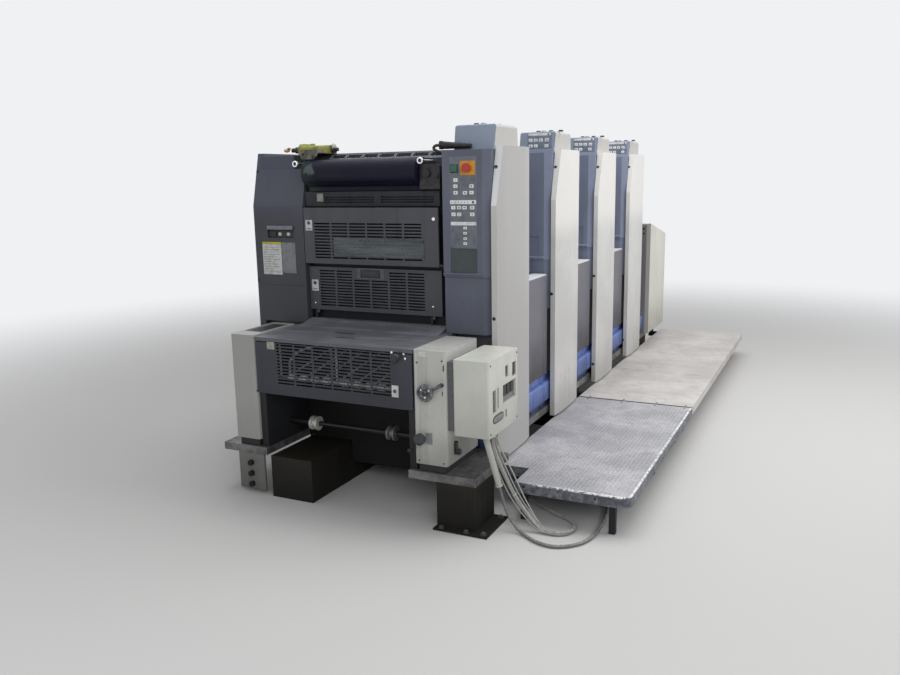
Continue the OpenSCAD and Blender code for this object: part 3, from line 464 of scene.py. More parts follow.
plate_rows = (("drive_plate_white", (-0.645, 1.048), (-0.525, 1.205), 0.002, white_card, "box_paint"),
              ("drive_plate_yellow", (-0.645, 1.2055), (-0.525, 1.217), 0.001, yellow_card, "box_paint"),
              ("drive_plate_grey", (-0.521, 1.058), (-0.437, 1.216), 0.002, grey_card, "slate_paint"))
for name, low, high, corner, card, slot in plate_rows:
    add_piece(name, [plate(low, high, -0.001, 0.001, corner, 0.0004)], card)
rule_left = -0.637
rule_widths = [0.09, 0.1, 0.07, 0.1, 0.085, 0.1, 0.05, 0.09, 0.1, 0.06, 0.08]
rules = [plate((rule_left, z - 0.0012), (rule_left + wide, z + 0.0012), 0.0008, 0.0012, 0.0004, 0.0001)
         for z, wide in zip(np.arange(1.19, 1.06, -0.0125), rule_widths)]
add_piece("drive_plate_rules", rules, grey_card, smooth=False)

lip_grey = print_card("lip_grey", (124, 126, 136), rough=0.4)
lip = plate((-0.604, 1.2825), (-0.445, 1.3015), 0.007, 0.0086, 0.002, 0.0006)
add_piece("lip_plate", [lip], lip_grey)
seam_places = [(-0.682, 1.577), (-0.682, 1.0155)]
seam_locks = sum([quarter_turn_lock(x, z, -cover_front(1, z)) for x, z in seam_places], [])
add_piece("cover_seam_locks", seam_locks, black_plastic)


# Control columns and top boxes
# A sheet housing stands beside each unit on the operator's side; on the first it is the press's
# control console. The boxes on top hold the relays, with a small keypad on the other three.
slate_enamel = enamel("slate_enamel", (99, 103, 116), rough=0.4, dirt=(66, 67, 76), low=0.8, dirty=0.3,
                      streaks=0.3, chips=0.6, chip=(168, 170, 178))
dress(slate_enamel, "unit_1_column")
# Painted light: the columns of units 2 to 4 take a lighter, bluer copy of the slate enamel, as they stand in
# brighter light.
lit_far_slate = enamel("lit_far_slate", (122, 129, 149), rough=0.4, dirt=(76, 78, 92), low=0.8, dirty=0.3,
                   streaks=0.3, chips=0.6, chip=(176, 180, 192))
dress(lit_far_slate, *[f"unit_{n}_column" for n in units if n > 1])

box_slate = enamel("box_slate", (152, 163, 181), rough=0.38, dirt=(92, 98, 112), low=1.4, streaks=0.2)
box_slate.lay((196, 193, 190), box_slate.ramp(box_slate.facing("X"), 0.3, 0.8))
dress(box_slate, "top_boxes")

overlay_film = print_card("overlay_film", (110, 113, 123), rough=0.32)
keypad_blue = print_card("keypad_blue", (126, 134, 150), rough=0.32)
key_white = print_card("key_white", (238, 239, 238), rough=0.3)
key_mark = print_card("key_mark", (58, 60, 70))
overlay_face = 0.0165
key_face = 0.0182
key_size = (0.0215, 0.016)
small_key = (0.018, 0.012)
console_keys = [(0.486, 1.518), (0.486, 1.490), (0.486, 1.461), (0.533, 1.460), (0.5655, 1.490),
                (0.5655, 1.461), (0.473, 1.3935), (0.502, 1.3935), (0.530, 1.3935), (0.568, 1.3935),
                (0.474, 1.363), (0.5025, 1.363), (0.568, 1.363)]
indicator_x = 0.531
indicator_rows = (1.301, 1.277, 1.253, 1.230)
strip_face = 0.0176
strip_z = 1.418


def key(x, z, size, face):
    """A key: a plate with round corners about its middle."""
    low = (x - size[0] / 2, z - size[1] / 2)
    high = (x + size[0] / 2, z + size[1] / 2)
    return plate(low, high, face - 0.002, face, 0.0025, 0.0006)


console_film = plate((0.4555, 1.2085), (0.5915, 1.623), 0.014, overlay_face, 0.004)
add_piece("console_film", [console_film], overlay_film)
keys = [key(x, z, key_size, key_face) for x, z in console_keys]
keys += [key(indicator_x, z, small_key, key_face) for z in indicator_rows]
keys += [plate((0.4565, 1.4095), (0.588, 1.427), 0.015, strip_face, 0.004),
         plate((0.459, 1.313), (0.5875, 1.329), 0.015, strip_face, 0.003)]
add_piece("console_keys", keys, key_white)
mark_sizes = [(0.009, 0.002), (0.002, 0.009), (0.006, 0.006), (0.010, 0.004), (0.005, 0.008)]
marks = [key(x, z, mark_sizes[i % 5], key_face + 0.0006) for i, (x, z) in enumerate(console_keys)]
marks += [key(indicator_x, z, (0.007, 0.0035), key_face + 0.0006) for z in indicator_rows]
marks += [key(0.505, z, (0.010, 0.0025), overlay_face + 0.0003) for z in indicator_rows]
marks += [key(x, strip_z, (0.005, 0.005), strip_face + 0.0005)
          for x in (0.466, 0.482, 0.498, 0.514, 0.530, 0.546)]
marks += [lathed((0.573, strip_z), [(0.0055, 0.016), (0.0055, 0.0184), (0.004, 0.0192)])]
add_piece("console_marks", marks, key_mark, smooth=False)

start_green = Finish("start_green", Roughness=0.3, Base_Color=color(26, 92, 74), Coat_Weight=0.4)
stop_yellow = print_card("stop_yellow", (214, 152, 44), rough=0.4)
start_button = plate((0.463, 1.554), (0.496, 1.5845), 0.016, 0.0235, 0.003, 0.0015)
start_bezel = plate((0.4595, 1.5505), (0.4995, 1.588), 0.015, 0.0195, 0.004, 0.001)
stop_plate = plate((0.509, 1.5395), (0.584, 1.603), 0.015, 0.0178, 0.003)
add_piece("start_button", [start_button], start_green)
add_piece("start_bezel", [start_bezel], black_plastic)
add_piece("stop_plate", [stop_plate], stop_yellow)
stop_red = Finish("stop_red", Roughness=0.3, Coat_Weight=0.5, Coat_Roughness=0.15)
stop_red.set(Base_Color=stop_red.mix(color(198, 40, 28), color(160, 30, 24), stop_red.noise(60.0)))
stop_red.relief(stop_red.noise(200.0), 0.00002, edge=0.004)
dress(stop_red, "emergency_stop")

display_glass = Finish("display_glass", Roughness=0.12, Coat_Weight=0.6)
glass_bloom = display_glass.ramp(display_glass.noise(14.0, 4.0), 0.35, 0.75)
display_glass.set(Base_Color=display_glass.mix(color(14, 28, 34), color(24, 46, 52), glass_bloom))
display = plate((0.4565, 1.0945), (0.5875, 1.2045), 0.0112, 0.0128, 0.001, 0.0005)
add_piece("console_display", [display], display_glass)
display_marks = [lathed((0.479, 1.182), [(0.010, 0.0122), (0.010, 0.0132), (0.0085, 0.0134)], sides=24),
                 key(0.565, 1.183, (0.013, 0.013), 0.0134)]
display_marks += [key(0.548, z, (0.052, 0.0014), 0.0132) for z in (1.134, 1.126, 1.118)]
dim_print = print_card("dim_print", (58, 84, 88))
add_piece("display_marks", display_marks, dim_print, smooth=False)

keypad_face = -0.050
keypad_keys = [(0.5176, 1.7205), (0.547, 1.7205), (0.576, 1.7205), (0.6105, 1.7205), (0.5176, 1.690),
               (0.547, 1.690), (0.608, 1.690)]
for n in (2, 3, 4):
    face = keypad_face - (n - 1) * unit_pitch
    film = plate((0.4995, 1.676), (0.638, 1.7605), face - 0.002, face + 0.0012, 0.004)
    keys = [key(x, z, (0.022, 0.017), face + 0.003) for x, z in keypad_keys]
    strip = plate((0.503, 1.744), (0.634, 1.757), face, face + 0.0026, 0.003)
    dots = [key(x, z, mark_sizes[i % 5], face + 0.0036) for i, (x, z) in enumerate(keypad_keys)]
    dots += [lathed((0.620, 1.7505), [(0.005, face), (0.005, face + 0.0034), (0.004, face + 0.004)])]
    add_piece(f"keypad_{n}_film", [film], keypad_blue)
    add_piece(f"keypad_{n}_keys", keys + [strip], key_white)
    add_piece(f"keypad_{n}_marks", dots, key_mark, smooth=False)

cap_profile = [(0.013, 1.7645), (0.013, 1.7705), (0.0115, 1.773), (0.008, 1.774)]
caps = [lathed((x, (n - 1) * unit_pitch + 0.115), cap_profile, "top", 24) for n in units
        for x in ((0.536,) if n == 1 else (0.540, 0.612, 0.668))]
add_piece("box_caps", caps, black_plastic)


# Kick panels
# Folded steel sheet closes the base between two units. The grey enamel is scuffed by shoes, and
# the top flange, which lies over the transfer cover, is painted near white as a painted highlight
# from the light above.
kick_enamel = enamel("kick_enamel", (106, 106, 113), dirt=(58, 58, 62), low=0.44, dirty=0.7, streaks=0.3,
                     chips=0.9, chip=(190, 192, 198))
# Painted highlight: faces that look up are painted near white.
kick_enamel.lay((226, 227, 230), kick_enamel.ramp(kick_enamel.facing("Z"), 0.35, 0.9) * 0.9)
dress(kick_enamel, "kick_panels")


# Ink roller cover, tray and rests
# A navy plastic guard is bulged over the ink roller. It hangs between a black end bracket and a
# chrome rest rod on each side; below it a slotted dark tray catches the drips. Dried ink is
# smeared on its left end.
navy_plastic = Finish("navy_plastic", Specular_IOR_Level=0.25)
navy_ink = navy_plastic.ramp(navy_plastic.noise(7.0, 5.0), 0.4, 0.7)
navy_across = navy_plastic.axis("X") - middle_x
smear_wave = (navy_plastic.noise(26.0, 4.0, rough=0.65) - 0.5) * 0.05
smear_up = navy_plastic.axis("Z") - 1.577 + smear_wave
smear_across = ((navy_across + 0.291 + smear_wave) * (1 + smear_up * 14) / 0.032).size()
smear_reach = smear_across ** 2.5 + (smear_up / 0.026).size() ** 2.5
navy_plastic.set(Base_Color=navy_plastic.mix(color(8, 11, 30), color(14, 17, 38), navy_ink),
                 Roughness=0.46 + navy_ink * 0.2)
navy_plastic.lay((44, 54, 50), navy_plastic.ramp(navy_across, -0.24, -0.335) * 0.8)
navy_plastic.lay((98, 106, 106), navy_plastic.ramp(smear_reach, 1.1, 0.4) * 0.8)
# Painted light: faces that look up are painted a lighter navy, as the lit band of the bulge.
navy_plastic.lay((36, 39, 60), navy_plastic.ramp(navy_plastic.facing("Z"), 0.1, 0.9) * 0.4)
navy_plastic.relief(navy_plastic.noise(40.0, 3.0), 0.0004, edge=0.002)
dress(navy_plastic, "roller_cover")
dress(black_plastic, "roller_bracket")

tray_enamel = enamel("tray_enamel", (54, 55, 60), rough=0.46, dirt=(26, 26, 28), low=1.3, dirty=0.5,
                     streaks=0.4, chips=0.5, chip=(110, 112, 116))
dress(tray_enamel, "roller_tray")
add_piece("tray_card", [plate((-0.302, 1.4235), (-0.265, 1.462), -0.021, -0.0192, 0.002, 0.0004)],
          print_card("tray_card", (150, 148, 140)))

chrome = Finish("chrome", Metallic=1.0)
chrome_film = chrome.noise(60.0, 4.0)
chrome_dull = chrome.ramp(chrome_film, 0.5, 0.85)
chrome.set(Base_Color=chrome.mix(color(238, 238, 240), color(188, 186, 184), chrome_dull),
           Roughness=0.14 + chrome_film * 0.14)
chrome.relief(chrome_film, 0.00003, edge=0.001)
dress(chrome, "rest_fittings")
rest_ends = [(-0.351, 1.608), (0.340, 1.608)]
ring_profile = [(0.009, 0.080), (0.0145, 0.0805), (0.0155, 0.082), (0.0155, 0.085), (0.0140, 0.0865),
                (0.0095, 0.0865), (0.0085, 0.0855), (0.0085, 0.0815)]
bore_profile = [(0.0085, 0.0816), (0.0085, 0.0824), (0.007, 0.0826)]
add_piece("rest_rings", [lathed(end, ring_profile) for end in rest_ends], chrome)
add_piece("rest_bores", [lathed(end, bore_profile) for end in rest_ends], black_plastic)


# Ink fountain casting
# The cast end frame of the ink fountain stands on the left of the hood. Its olive enamel is spotted
# with dried ink in cream, orange and black; small fittings are screwed to it.
casting = Finish("casting_enamel")
casting_clouds = casting.noise(24.0, 4.0)
casting_spots = casting.noise(48.0, 5.0, rough=0.7)
casting_across = casting.axis("X") - middle_x
casting_front = casting.ramp(casting.axis("Y") - front_plane_y, 0.052, 0.046)
casting_top = casting.ramp(casting_across, -0.452, -0.447) * casting.ramp(casting_across, -0.246, -0.250)
olive_clouds = casting.ramp(casting_clouds, 0.42, 0.62)
casting_olive = casting.mix(color(158, 162, 82), color(120, 126, 66), olive_clouds)
casting_brown = casting.mix(color(112, 109, 98), color(74, 76, 68), casting.ramp(casting_clouds, 0.42, 0.6))
casting_oily = casting.mix(color(44, 42, 40), color(86, 80, 72), casting.ramp(casting_spots, 0.45, 0.62))
casting.set(Base_Color=casting_oily, Roughness=0.45 + casting_clouds * 0.2)
casting.lay(casting_olive, casting_top)
casting.lay(casting_brown, casting_front)
casting.lay((186, 180, 140), casting.ramp(casting_spots, 0.63, 0.72))
casting.lay((26, 30, 28), casting.ramp(casting_spots, 0.40, 0.33))
casting.relief(casting_spots, 0.0008, edge=0.002)
dress(casting, "ink_casting")


def ball(centre, radii, rows=14, columns=22):
    """A rounded lump: an ellipsoid on a grid of latitude and longitude, dented by two low waves."""
    up = np.linspace(-np.pi / 2, np.pi / 2, rows)[:, None]
    turn = np.linspace(0, 2 * np.pi, columns, endpoint=False)[None, :]
    swell = 1 + 0.08 * np.sin(3 * turn + 2 * up) * np.cos(up) + 0.05 * np.cos(5 * turn) * np.cos(up)
    grid = np.stack([np.cos(up) * np.cos(turn) * swell, np.cos(up) * np.sin(turn) * swell,
                     np.sin(up) + 0 * turn], axis=-1)
    points = np.asarray(centre) + grid.reshape(-1, 3) * np.asarray(radii)
    return points, quads(rows, columns, around=True)


ink_cream = print_card("ink_cream", (206, 182, 140), rough=0.6)
ink_orange = print_card("ink_orange", (186, 110, 50), rough=0.6)
ink_black = print_card("ink_black", (34, 34, 34), rough=0.5)
fitting_pale = print_card("fitting_pale", (168, 172, 160), rough=0.45)
add_piece("ink_lump_cream", [ball((-0.528, 0.098, 1.681), (0.017, 0.014, 0.010))], ink_cream)
add_piece("ink_lump_orange", [ball((-0.512, 0.094, 1.690), (0.009, 0.009, 0.006))], ink_orange)
add_piece("casting_stub", [ball((-0.240, 0.099, 1.690), (0.011, 0.018, 0.018))], fitting_pale)
stud = [(0.006, 0.030), (0.006, 0.035), (0.004, 0.036)]
studs = [lathed(spot, stud, sides=6) for spot in ((-0.338, 1.655), (-0.282, 1.640))]
add_piece("casting_studs", studs, ink_black)


# Conduit on the first column
# A ribbed black conduit lies across the top of the column, and a thinner lead bends out of its end
# into the hood. Both are flexible plastic; a hexagon nut holds the conduit's outer end.
def smooth_route(route, steps):
    """A smooth curve through a route's points: on each stretch a cubic that leaves and reaches its
    ends in the direction of the neighbours on both sides."""
    p = np.asarray(route, float)
    a, b, c, d = p[[0, *range(len(p) - 2)]], p[:-1], p[1:], p[[*range(2, len(p)), -1]]
    t = (np.arange(steps) / steps)[None, :, None]
    a, b, c, d = (q[:, None, :] for q in (a, b, c, d))
    bend = (2 * a - 5 * b + 4 * c - d) * t**2 + (3 * b - a - 3 * c + d) * t**3
    curve = 0.5 * (2 * b + (c - a) * t + bend)
    return np.vstack([curve.reshape(-1, 3), p[-1:]])


def swept(path, radius, sides):
    """A tube along a path: at each point a ring whose radius is a function of the angle and of the
    length run so far, turned along with the path so that it doesn't twist, with closed ends."""
    path = np.asarray(path, float)
    heading = np.gradient(path, axis=0)
    heading /= np.linalg.norm(heading, axis=1)[:, None]
    side = np.zeros_like(path)
    last = np.array([0.0, 1.0, 0.01]) if abs(heading[0, 1]) < 0.9 else np.array([1.0, 0.0, 0.01])
    for i, along in enumerate(heading):
        last = last - (last @ along) * along
        last /= np.linalg.norm(last)
        side[i] = last
    other = np.cross(heading, side)
    run = np.concatenate([[0.0], np.cumsum(np.linalg.norm(np.diff(path, axis=0), axis=1))])
    angle = np.linspace(0, 2 * np.pi, sides, endpoint=False)
    r = radius(angle[None, :], run[:, None]) * np.ones((len(path), sides))
    round_side = np.cos(angle)[None, :, None] * side[:, None, :]
    round_other = np.sin(angle)[None, :, None] * other[:, None, :]
    return closed_skin(path[:, None, :] + r[:, :, None] * (round_side + round_other))


def ribbed(angle, run):
    """Radius of the conduit: it narrows along its length, with a cosine wave for its ribs."""
    return 0.0170 - 0.055 * run + 0.0012 * np.cos(2 * np.pi * run / rib_pitch)


rib_pitch = 0.0056
conduit_steps = 190
conduit_line = np.linspace([0.405, 0.031, 1.6765], [0.545, 0.031, 1.669], conduit_steps)
conduit_lead = np.array([[395, 30, 1676], [381, 30, 1677], [366, 30, 1676], [356, 30, 1669], [356, 32, 1660],
                         [366, 38, 1653], [380, 46, 1646], [388, 54, 1640], [392, 61, 1634]]) / 1000
conduit = swept(conduit_line, ribbed, 28)
lead = swept(smooth_route(conduit_lead, 8), lambda a, s: 0.0068, 16)
nut_x = 0.389
nut_profile = [(0.0125, nut_x), (0.022, nut_x), (0.022, nut_x + 0.010), (0.0185, nut_x + 0.012),
               (0.0185, nut_x + 0.021), (0.016, nut_x + 0.022)]
nut = lathed((0.031, 1.677), nut_profile, "side", 6)
add_piece("ribbed_conduit", [conduit, lead, nut], black_plastic, replaces=["column_conduit"])


# Guards of the first unit
# The two slotted guards are folded sheet on hinge pins. The upper one carries a tinted pane over
# its slots and a chrome lock; both have a bare label plate and swing out for cleaning.
guard_enamel = enamel("guard_enamel", (80, 81, 86), dirt=(50, 50, 54), low=0.8, dirty=0.2, streaks=0.3,
                      chips=0.8, chip=(150, 152, 158))
dress(guard_enamel, "upper_guard", "lower_guard")
dress(enamel("bracket_black", (40, 41, 44), rough=0.45, dirt=(20, 20, 20)), "hinge_brackets")

tinted_pane = Finish("tinted_pane", Roughness=0.22, Coat_Weight=0.3)
pane_haze = tinted_pane.ramp(tinted_pane.noise(9.0, 5.0, stretch=(0.3, 1, 1.6)), 0.3, 0.75)
tinted_pane.set(Base_Color=tinted_pane.mix(color(74, 82, 86), color(104, 114, 116), pane_haze),
                Alpha=0.52 + pane_haze * 0.28)
dress(tinted_pane, "guard_window")

upper_card = plate((-0.364, 1.279), (-0.324, 1.332), 0.001, 0.0034, 0.002, 0.0004)
upper_marks = [lathed((-0.344, 1.3165), [(0.0085, 0.0028), (0.0085, 0.004), (0.007, 0.0042)]),
               plate((-0.356, 1.288), (-0.332, 1.291), 0.003, 0.004, 0.001, 0.0002)]
lock_barrel = [(0.0085, 0.001), (0.0085, 0.005), (0.0075, 0.006), (0.003, 0.0063), (0.0026, 0.005)]
add_piece("upper_guard_card", [upper_card], white_card, "upper_guard_body")
add_piece("upper_guard_mark", upper_marks, key_mark, "upper_guard_body", smooth=False)
add_piece("upper_guard_lock", [lathed((0.362, 1.340), lock_barrel)], chrome, "upper_guard_body")

lower_card = plate((-0.361, 0.969), (-0.321, 1.027), -0.026, -0.0236, 0.002, 0.0004)
lower_marks = [lathed((-0.341, 1.010), [(0.009, -0.0242), (0.009, -0.023), (0.0075, -0.0228)]),
               plate((-0.353, 0.978), (-0.329, 0.981), -0.024, -0.023, 0.001, 0.0002)]
add_piece("lower_guard_card", [lower_card], white_card, "lower_guard_body")
add_piece("lower_guard_mark", lower_marks, key_mark, "lower_guard_body", smooth=False)

handle_frame = plate((-0.085, 1.040), (0.068, 1.094), -0.026, -0.0235, 0.002, 0.0006)
handle_rim = plate((-0.066, 1.046), (0.049, 1.0865), -0.025, -0.0218, 0.004, 0.001)
handle_pull = plate((-0.054, 1.052), (0.038, 1.0805), -0.0222, -0.0200, 0.003, 0.0012)
frame_grey = print_card("frame_grey", (92, 93, 98))
pull_dark = print_card("pull_dark", (46, 46, 50), rough=0.4)
add_piece("lower_guard_frame", [handle_frame], frame_grey, "lower_guard_body")
add_piece("lower_guard_handle", [handle_rim], black_plastic, "lower_guard_body")
add_piece("lower_guard_pull", [handle_pull], pull_dark, "lower_guard_body")
screw = [(0.0045, -0.026), (0.0045, -0.0232), (0.003, -0.0225)]
guard_screws = [lathed(spot, screw, sides=16) for spot in ((0.337, 0.919), (-0.344, 0.906))]
add_piece("lower_guard_screws", guard_screws, chrome, "lower_guard_body")


# Delivery table and side frames
# A worn steel plate on two dark side frames, where sheets are laid out to be looked at. Its enamel
# is polished by paper in streaks along the feed, and its rear rises towards the guards.
table_enamel = Finish("table_enamel")
table_streaks = table_enamel.noise(15.0, 4.0, stretch=(0.22, 1.5, 1))
table_clouds = table_enamel.noise(3.2, 6.0, rough=0.65)
table_top = table_enamel.ramp(table_enamel.facing("Z"), 0.4, 0.9)
table_polish = table_enamel.ramp(table_streaks, 0.42, 0.7) * 0.55
table_rubbed = table_polish + table_enamel.ramp(table_clouds, 0.4, 0.68) * 0.5
table_bright = (table_rubbed * table_top).limited()
table_oil = table_enamel.ramp(table_enamel.noise(5.0, 5.0, stretch=(1, 1.6, 1)), 0.62, 0.72) * table_top
table_enamel.set(Base_Color=table_enamel.mix(color(92, 94, 100), color(138, 139, 145), table_bright),
                 Roughness=0.42 - table_oil * 0.15)
table_enamel.lay((44, 44, 48), table_oil * 0.7)
table_enamel.lay((156, 157, 160), table_enamel.edges(0.003) * table_enamel.ramp(table_clouds, 0.35, 0.55))
table_enamel.relief(table_streaks, 0.00012, edge=0.003)
dress(table_enamel, "delivery_table")
slot_dark = print_card("slot_dark", (26, 26, 30), rough=0.6)
table_slot = plate((-0.036, -0.275), (0.067, -0.259), 0.8195, 0.8208, 0.002, 0.0004, "top")
add_piece("table_slot", [table_slot], slot_dark)

dark_enamel = enamel("dark_enamel", (44, 45, 49), rough=0.5, dirt=(22, 22, 24), low=0.25, dirty=0.6,
                     streaks=0.4, chips=0.6, chip=(110, 110, 112))
dress(dark_enamel, "delivery_legs", "feeder_head", "deck_legs")
bay_black = enamel("bay_black", (26, 26, 28), rough=0.6, dirt=(12, 12, 12), low=0.2, dirty=0.7)
dress(bay_black, "pile_back")


# Delivery guard
# Folded slotted sheet on two pins, hung low so that it opens downwards. It has a bare plate at its
# left, a round black latch knob with bright screws and, low down, a pale contact plate.
front_enamel = enamel("front_enamel", (66, 67, 74), rough=0.44, dirt=(40, 40, 44), low=0.5, dirty=0.3,
                      streaks=0.35, chips=0.8, chip=(140, 142, 148))
dress(front_enamel, "delivery_guard")
guard_front = 0.400
knob_profile = [(0.0085, guard_front + 0.018), (0.017, guard_front + 0.019), (0.0195, guard_front + 0.022),
                (0.0195, guard_front + 0.030), (0.017, guard_front + 0.034), (0.010, guard_front + 0.035)]
latch_knob = lathed((0.374, 0.762), knob_profile, sides=40)
add_piece("latch_knob", [latch_knob], black_plastic, "delivery_guard_body")
latch_screw = [(0.0055, guard_front - 0.001), (0.0055, guard_front + 0.003), (0.004, guard_front + 0.0042)]
latch_places = ((0.343, 0.780), (0.402, 0.776), (0.410, 0.757))
latch_screws = [lathed(spot, latch_screw, sides=20) for spot in latch_places]
add_piece("latch_screws", latch_screws, chrome, "delivery_guard_body")

plate_base = guard_front - 0.001
delivery_card = plate((-0.338, 0.745), (-0.295, 0.7805), plate_base, guard_front + 0.0012, 0.002, 0.0004)
card_aged = print_card("delivery_card", (168, 166, 152))
add_piece("delivery_card", [delivery_card], card_aged, "delivery_guard_body")
contact_plate = plate((0.338, 0.578), (0.372, 0.632), plate_base, guard_front + 0.0025, 0.002, 0.0008)
contact_bolt = lathed((0.355, 0.606), [(0.009, guard_front + 0.002), (0.009, guard_front + 0.006),
                                       (0.006, guard_front + 0.007)], sides=6)
add_piece("contact_plate", [contact_plate], white_card, "delivery_guard_body")
add_piece("contact_bolt", [contact_bolt], bolt_steel, "delivery_guard_body", smooth=False)


# Sheet brakes behind the delivery guard
# A rod runs from side to side just behind the guard, with a row of short pale suction rollers on it.
# Bright guide rods slope back from it, and a bent air pipe feeds it from above.
dull_steel = Finish("dull_steel", Metallic=0.35)
dull_film = dull_steel.noise(34.0, 4.0)
dull_steel.set(Base_Color=dull_steel.mix(color(150, 151, 154), color(216, 217, 220), dull_film),
               Roughness=0.4)
brake_y = -0.352
brake_line = np.array([[-0.378, brake_y, 0.606], [0.410, brake_y, 0.600]])
cross_y = -0.118
hanger_top = 0.7825


def rod(start, end, radius, sides=16):
    """A round rod from one point to another."""
    return swept(np.linspace(start, end, 3), lambda a, s: radius, sides)


def slotted_roller(x):
    """A short roller on the brake rod: a drum with a groove round its middle."""
    share = (x - brake_line[0, 0]) / (brake_line[1, 0] - brake_line[0, 0])
    z = brake_line[0, 2] + share * (brake_line[1, 2] - brake_line[0, 2])
    profile = [(0.008, -0.017), (0.0155, -0.016), (0.0165, -0.013), (0.0165, -0.004), (0.013, -0.003),
               (0.013, 0.003), (0.0165, 0.004), (0.0165, 0.013), (0.0155, 0.016), (0.008, 0.017)]
    points, faces = lathed((brake_y, z), profile, "side", 28)
    return points + np.array([x, 0, 0]), faces


guide_rods = [rod((x, brake_y, 0.612), (x + 0.13, -0.115, 0.735), 0.0045)
              for x in np.linspace(-0.25, 0.22, 6)]
hanger_rods = [rod((x, brake_y, 0.604), (x, brake_y, hanger_top), 0.006) for x in (-0.300, 0.020, 0.320)]
cross_rod = rod((-0.300, cross_y, 0.7335), (0.400, cross_y, 0.7335), 0.006)
cross_hangers = [rod((x, cross_y, 0.730), (x, cross_y, hanger_top), 0.006) for x in (-0.290, 0.390)]
brake_rod = rod(brake_line[0], brake_line[1], 0.007, 20)
brake_rods = [brake_rod, cross_rod] + guide_rods + hanger_rods + cross_hangers
add_piece("brake_rods", brake_rods, dull_steel)

rubber_white = print_card("rubber_white", (236, 235, 230), rough=0.6)
roller_places = (-0.235, -0.170, -0.105, -0.040, 0.065, 0.130, 0.195, 0.260)
add_piece("brake_rollers", [slotted_roller(x) for x in roller_places], rubber_white)
air_route = [(-0.060, brake_y, hanger_top), (-0.090, brake_y - 0.002, 0.7700),
             (-0.150, brake_y - 0.004, 0.752), (-0.205, brake_y - 0.005, 0.722),
             (-0.240, brake_y - 0.004, 0.682), (-0.247, brake_y, 0.640), (-0.246, brake_y, 0.608)]
air_pipe = swept(smooth_route(air_route, 8), lambda a, s: 0.0065, 18)
add_piece("brake_air_pipe", [air_pipe], dull_steel)


# Pile hoist
# A dark cross shaft carries the grooved chain rollers that lift the pile board. The rollers are
# bright where the chain runs.
hoist_steel = Finish("hoist_steel", Metallic=0.3)
roller_x = 0.22
hoist_across = hoist_steel.axis("X") - middle_x
on_roller = hoist_steel.ramp((hoist_across.size() - roller_x).size(), 0.0235, 0.021)
hoist_film = hoist_steel.noise(40.0, 4.0)
hoist_steel.set(Base_Color=hoist_steel.mix(color(170, 169, 162), color(226, 225, 218), hoist_film),
                Roughness=0.3 + hoist_film * 0.2)
hoist_steel.lay((88, 87, 84), hoist_steel.ramp(hoist_across, 0.0, 0.1) * 0.85)
hoist_steel.lay((34, 34, 34), 1 - on_roller)
hoist_steel.relief(hoist_film, 0.0001, edge=0.002)
dress(hoist_steel, "pile_hoist")


# Delivery posts
# Two pale sheet housings carry the table. The right one holds the crank wheel and, below it, the
# adjusting knob with its lever; the left one has a sunk dark tray in its top.
post_enamel = enamel("post_enamel", (184, 184, 179), rough=0.36, dirt=(74, 72, 66), low=0.24, dirty=0.5,
                     streaks=0.35, chips=0.5, chip=(96, 96, 94), coat=0.1)
painted_shade_left_post = post_enamel.ramp(post_enamel.axis("X") - middle_x, -0.3, -0.4)
# Painted shade: the left post is painted darker, as it stands in shade.
post_enamel.lay((156, 156, 152), painted_shade_left_post * 0.8)
post_enamel.lay((44, 44, 46), post_enamel.ramp(post_enamel.axis("Z"), 0.2855, 0.2845))
dress(post_enamel, "left_post", "control_post")
tray_dark = print_card("tray_dark", (38, 38, 40), rough=0.55)
tray_mat = plate((-0.539, -0.306), (-0.446, -0.076), 0.7985, 0.8005, 0.006, 0.0004, "top")
add_piece("left_tray_mat", [tray_mat], tray_dark)

post_plane = 0.400
mark_black = print_card("mark_black", (36, 36, 38))
post_marks = [plate(low, high, post_plane - 0.001, post_plane + 0.0014, 0.0015, 0.0004)
              for low, high in (((0.5925, 0.715), (0.597, 0.742)), ((0.586, 0.607), (0.590, 0.627)))]
post_plate = plate((0.503, 0.380), (0.535, 0.432), post_plane - 0.001, post_plane + 0.0016, 0.002, 0.0004)
post_card = plate((0.474, 0.772), (0.515, 0.7955), post_plane - 0.001, post_plane + 0.0012, 0.001, 0.0003)
add_piece("post_marks", post_marks, mark_black, smooth=False)
add_piece("post_grey_plate", [post_plate], grey_card)
add_piece("post_card", [post_card], white_card)
post_screw = [(0.0042, post_plane - 0.001), (0.0042, post_plane + 0.0016), (0.003, post_plane + 0.0026)]
screw_places = ((0.467, 0.745), (0.588, 0.760), (0.467, 0.300), (0.588, 0.300))
post_screws = [lathed(spot, post_screw, sides=18) for spot in screw_places]
add_piece("post_screws", post_screws, bolt_steel)

post_side = 0.606
handle = plate((-0.330, 0.322), (-0.310, 0.383), post_side - 0.001, post_side + 0.014, 0.007, 0.005, "side")
side_knob = lathed((-0.291, 0.325), [(0.014, post_side - 0.001), (0.014, post_side + 0.010),
                                     (0.012, post_side + 0.013), (0.006, post_side + 0.014)], "side")
add_piece("post_side_handle", [handle, side_knob], black_plastic)

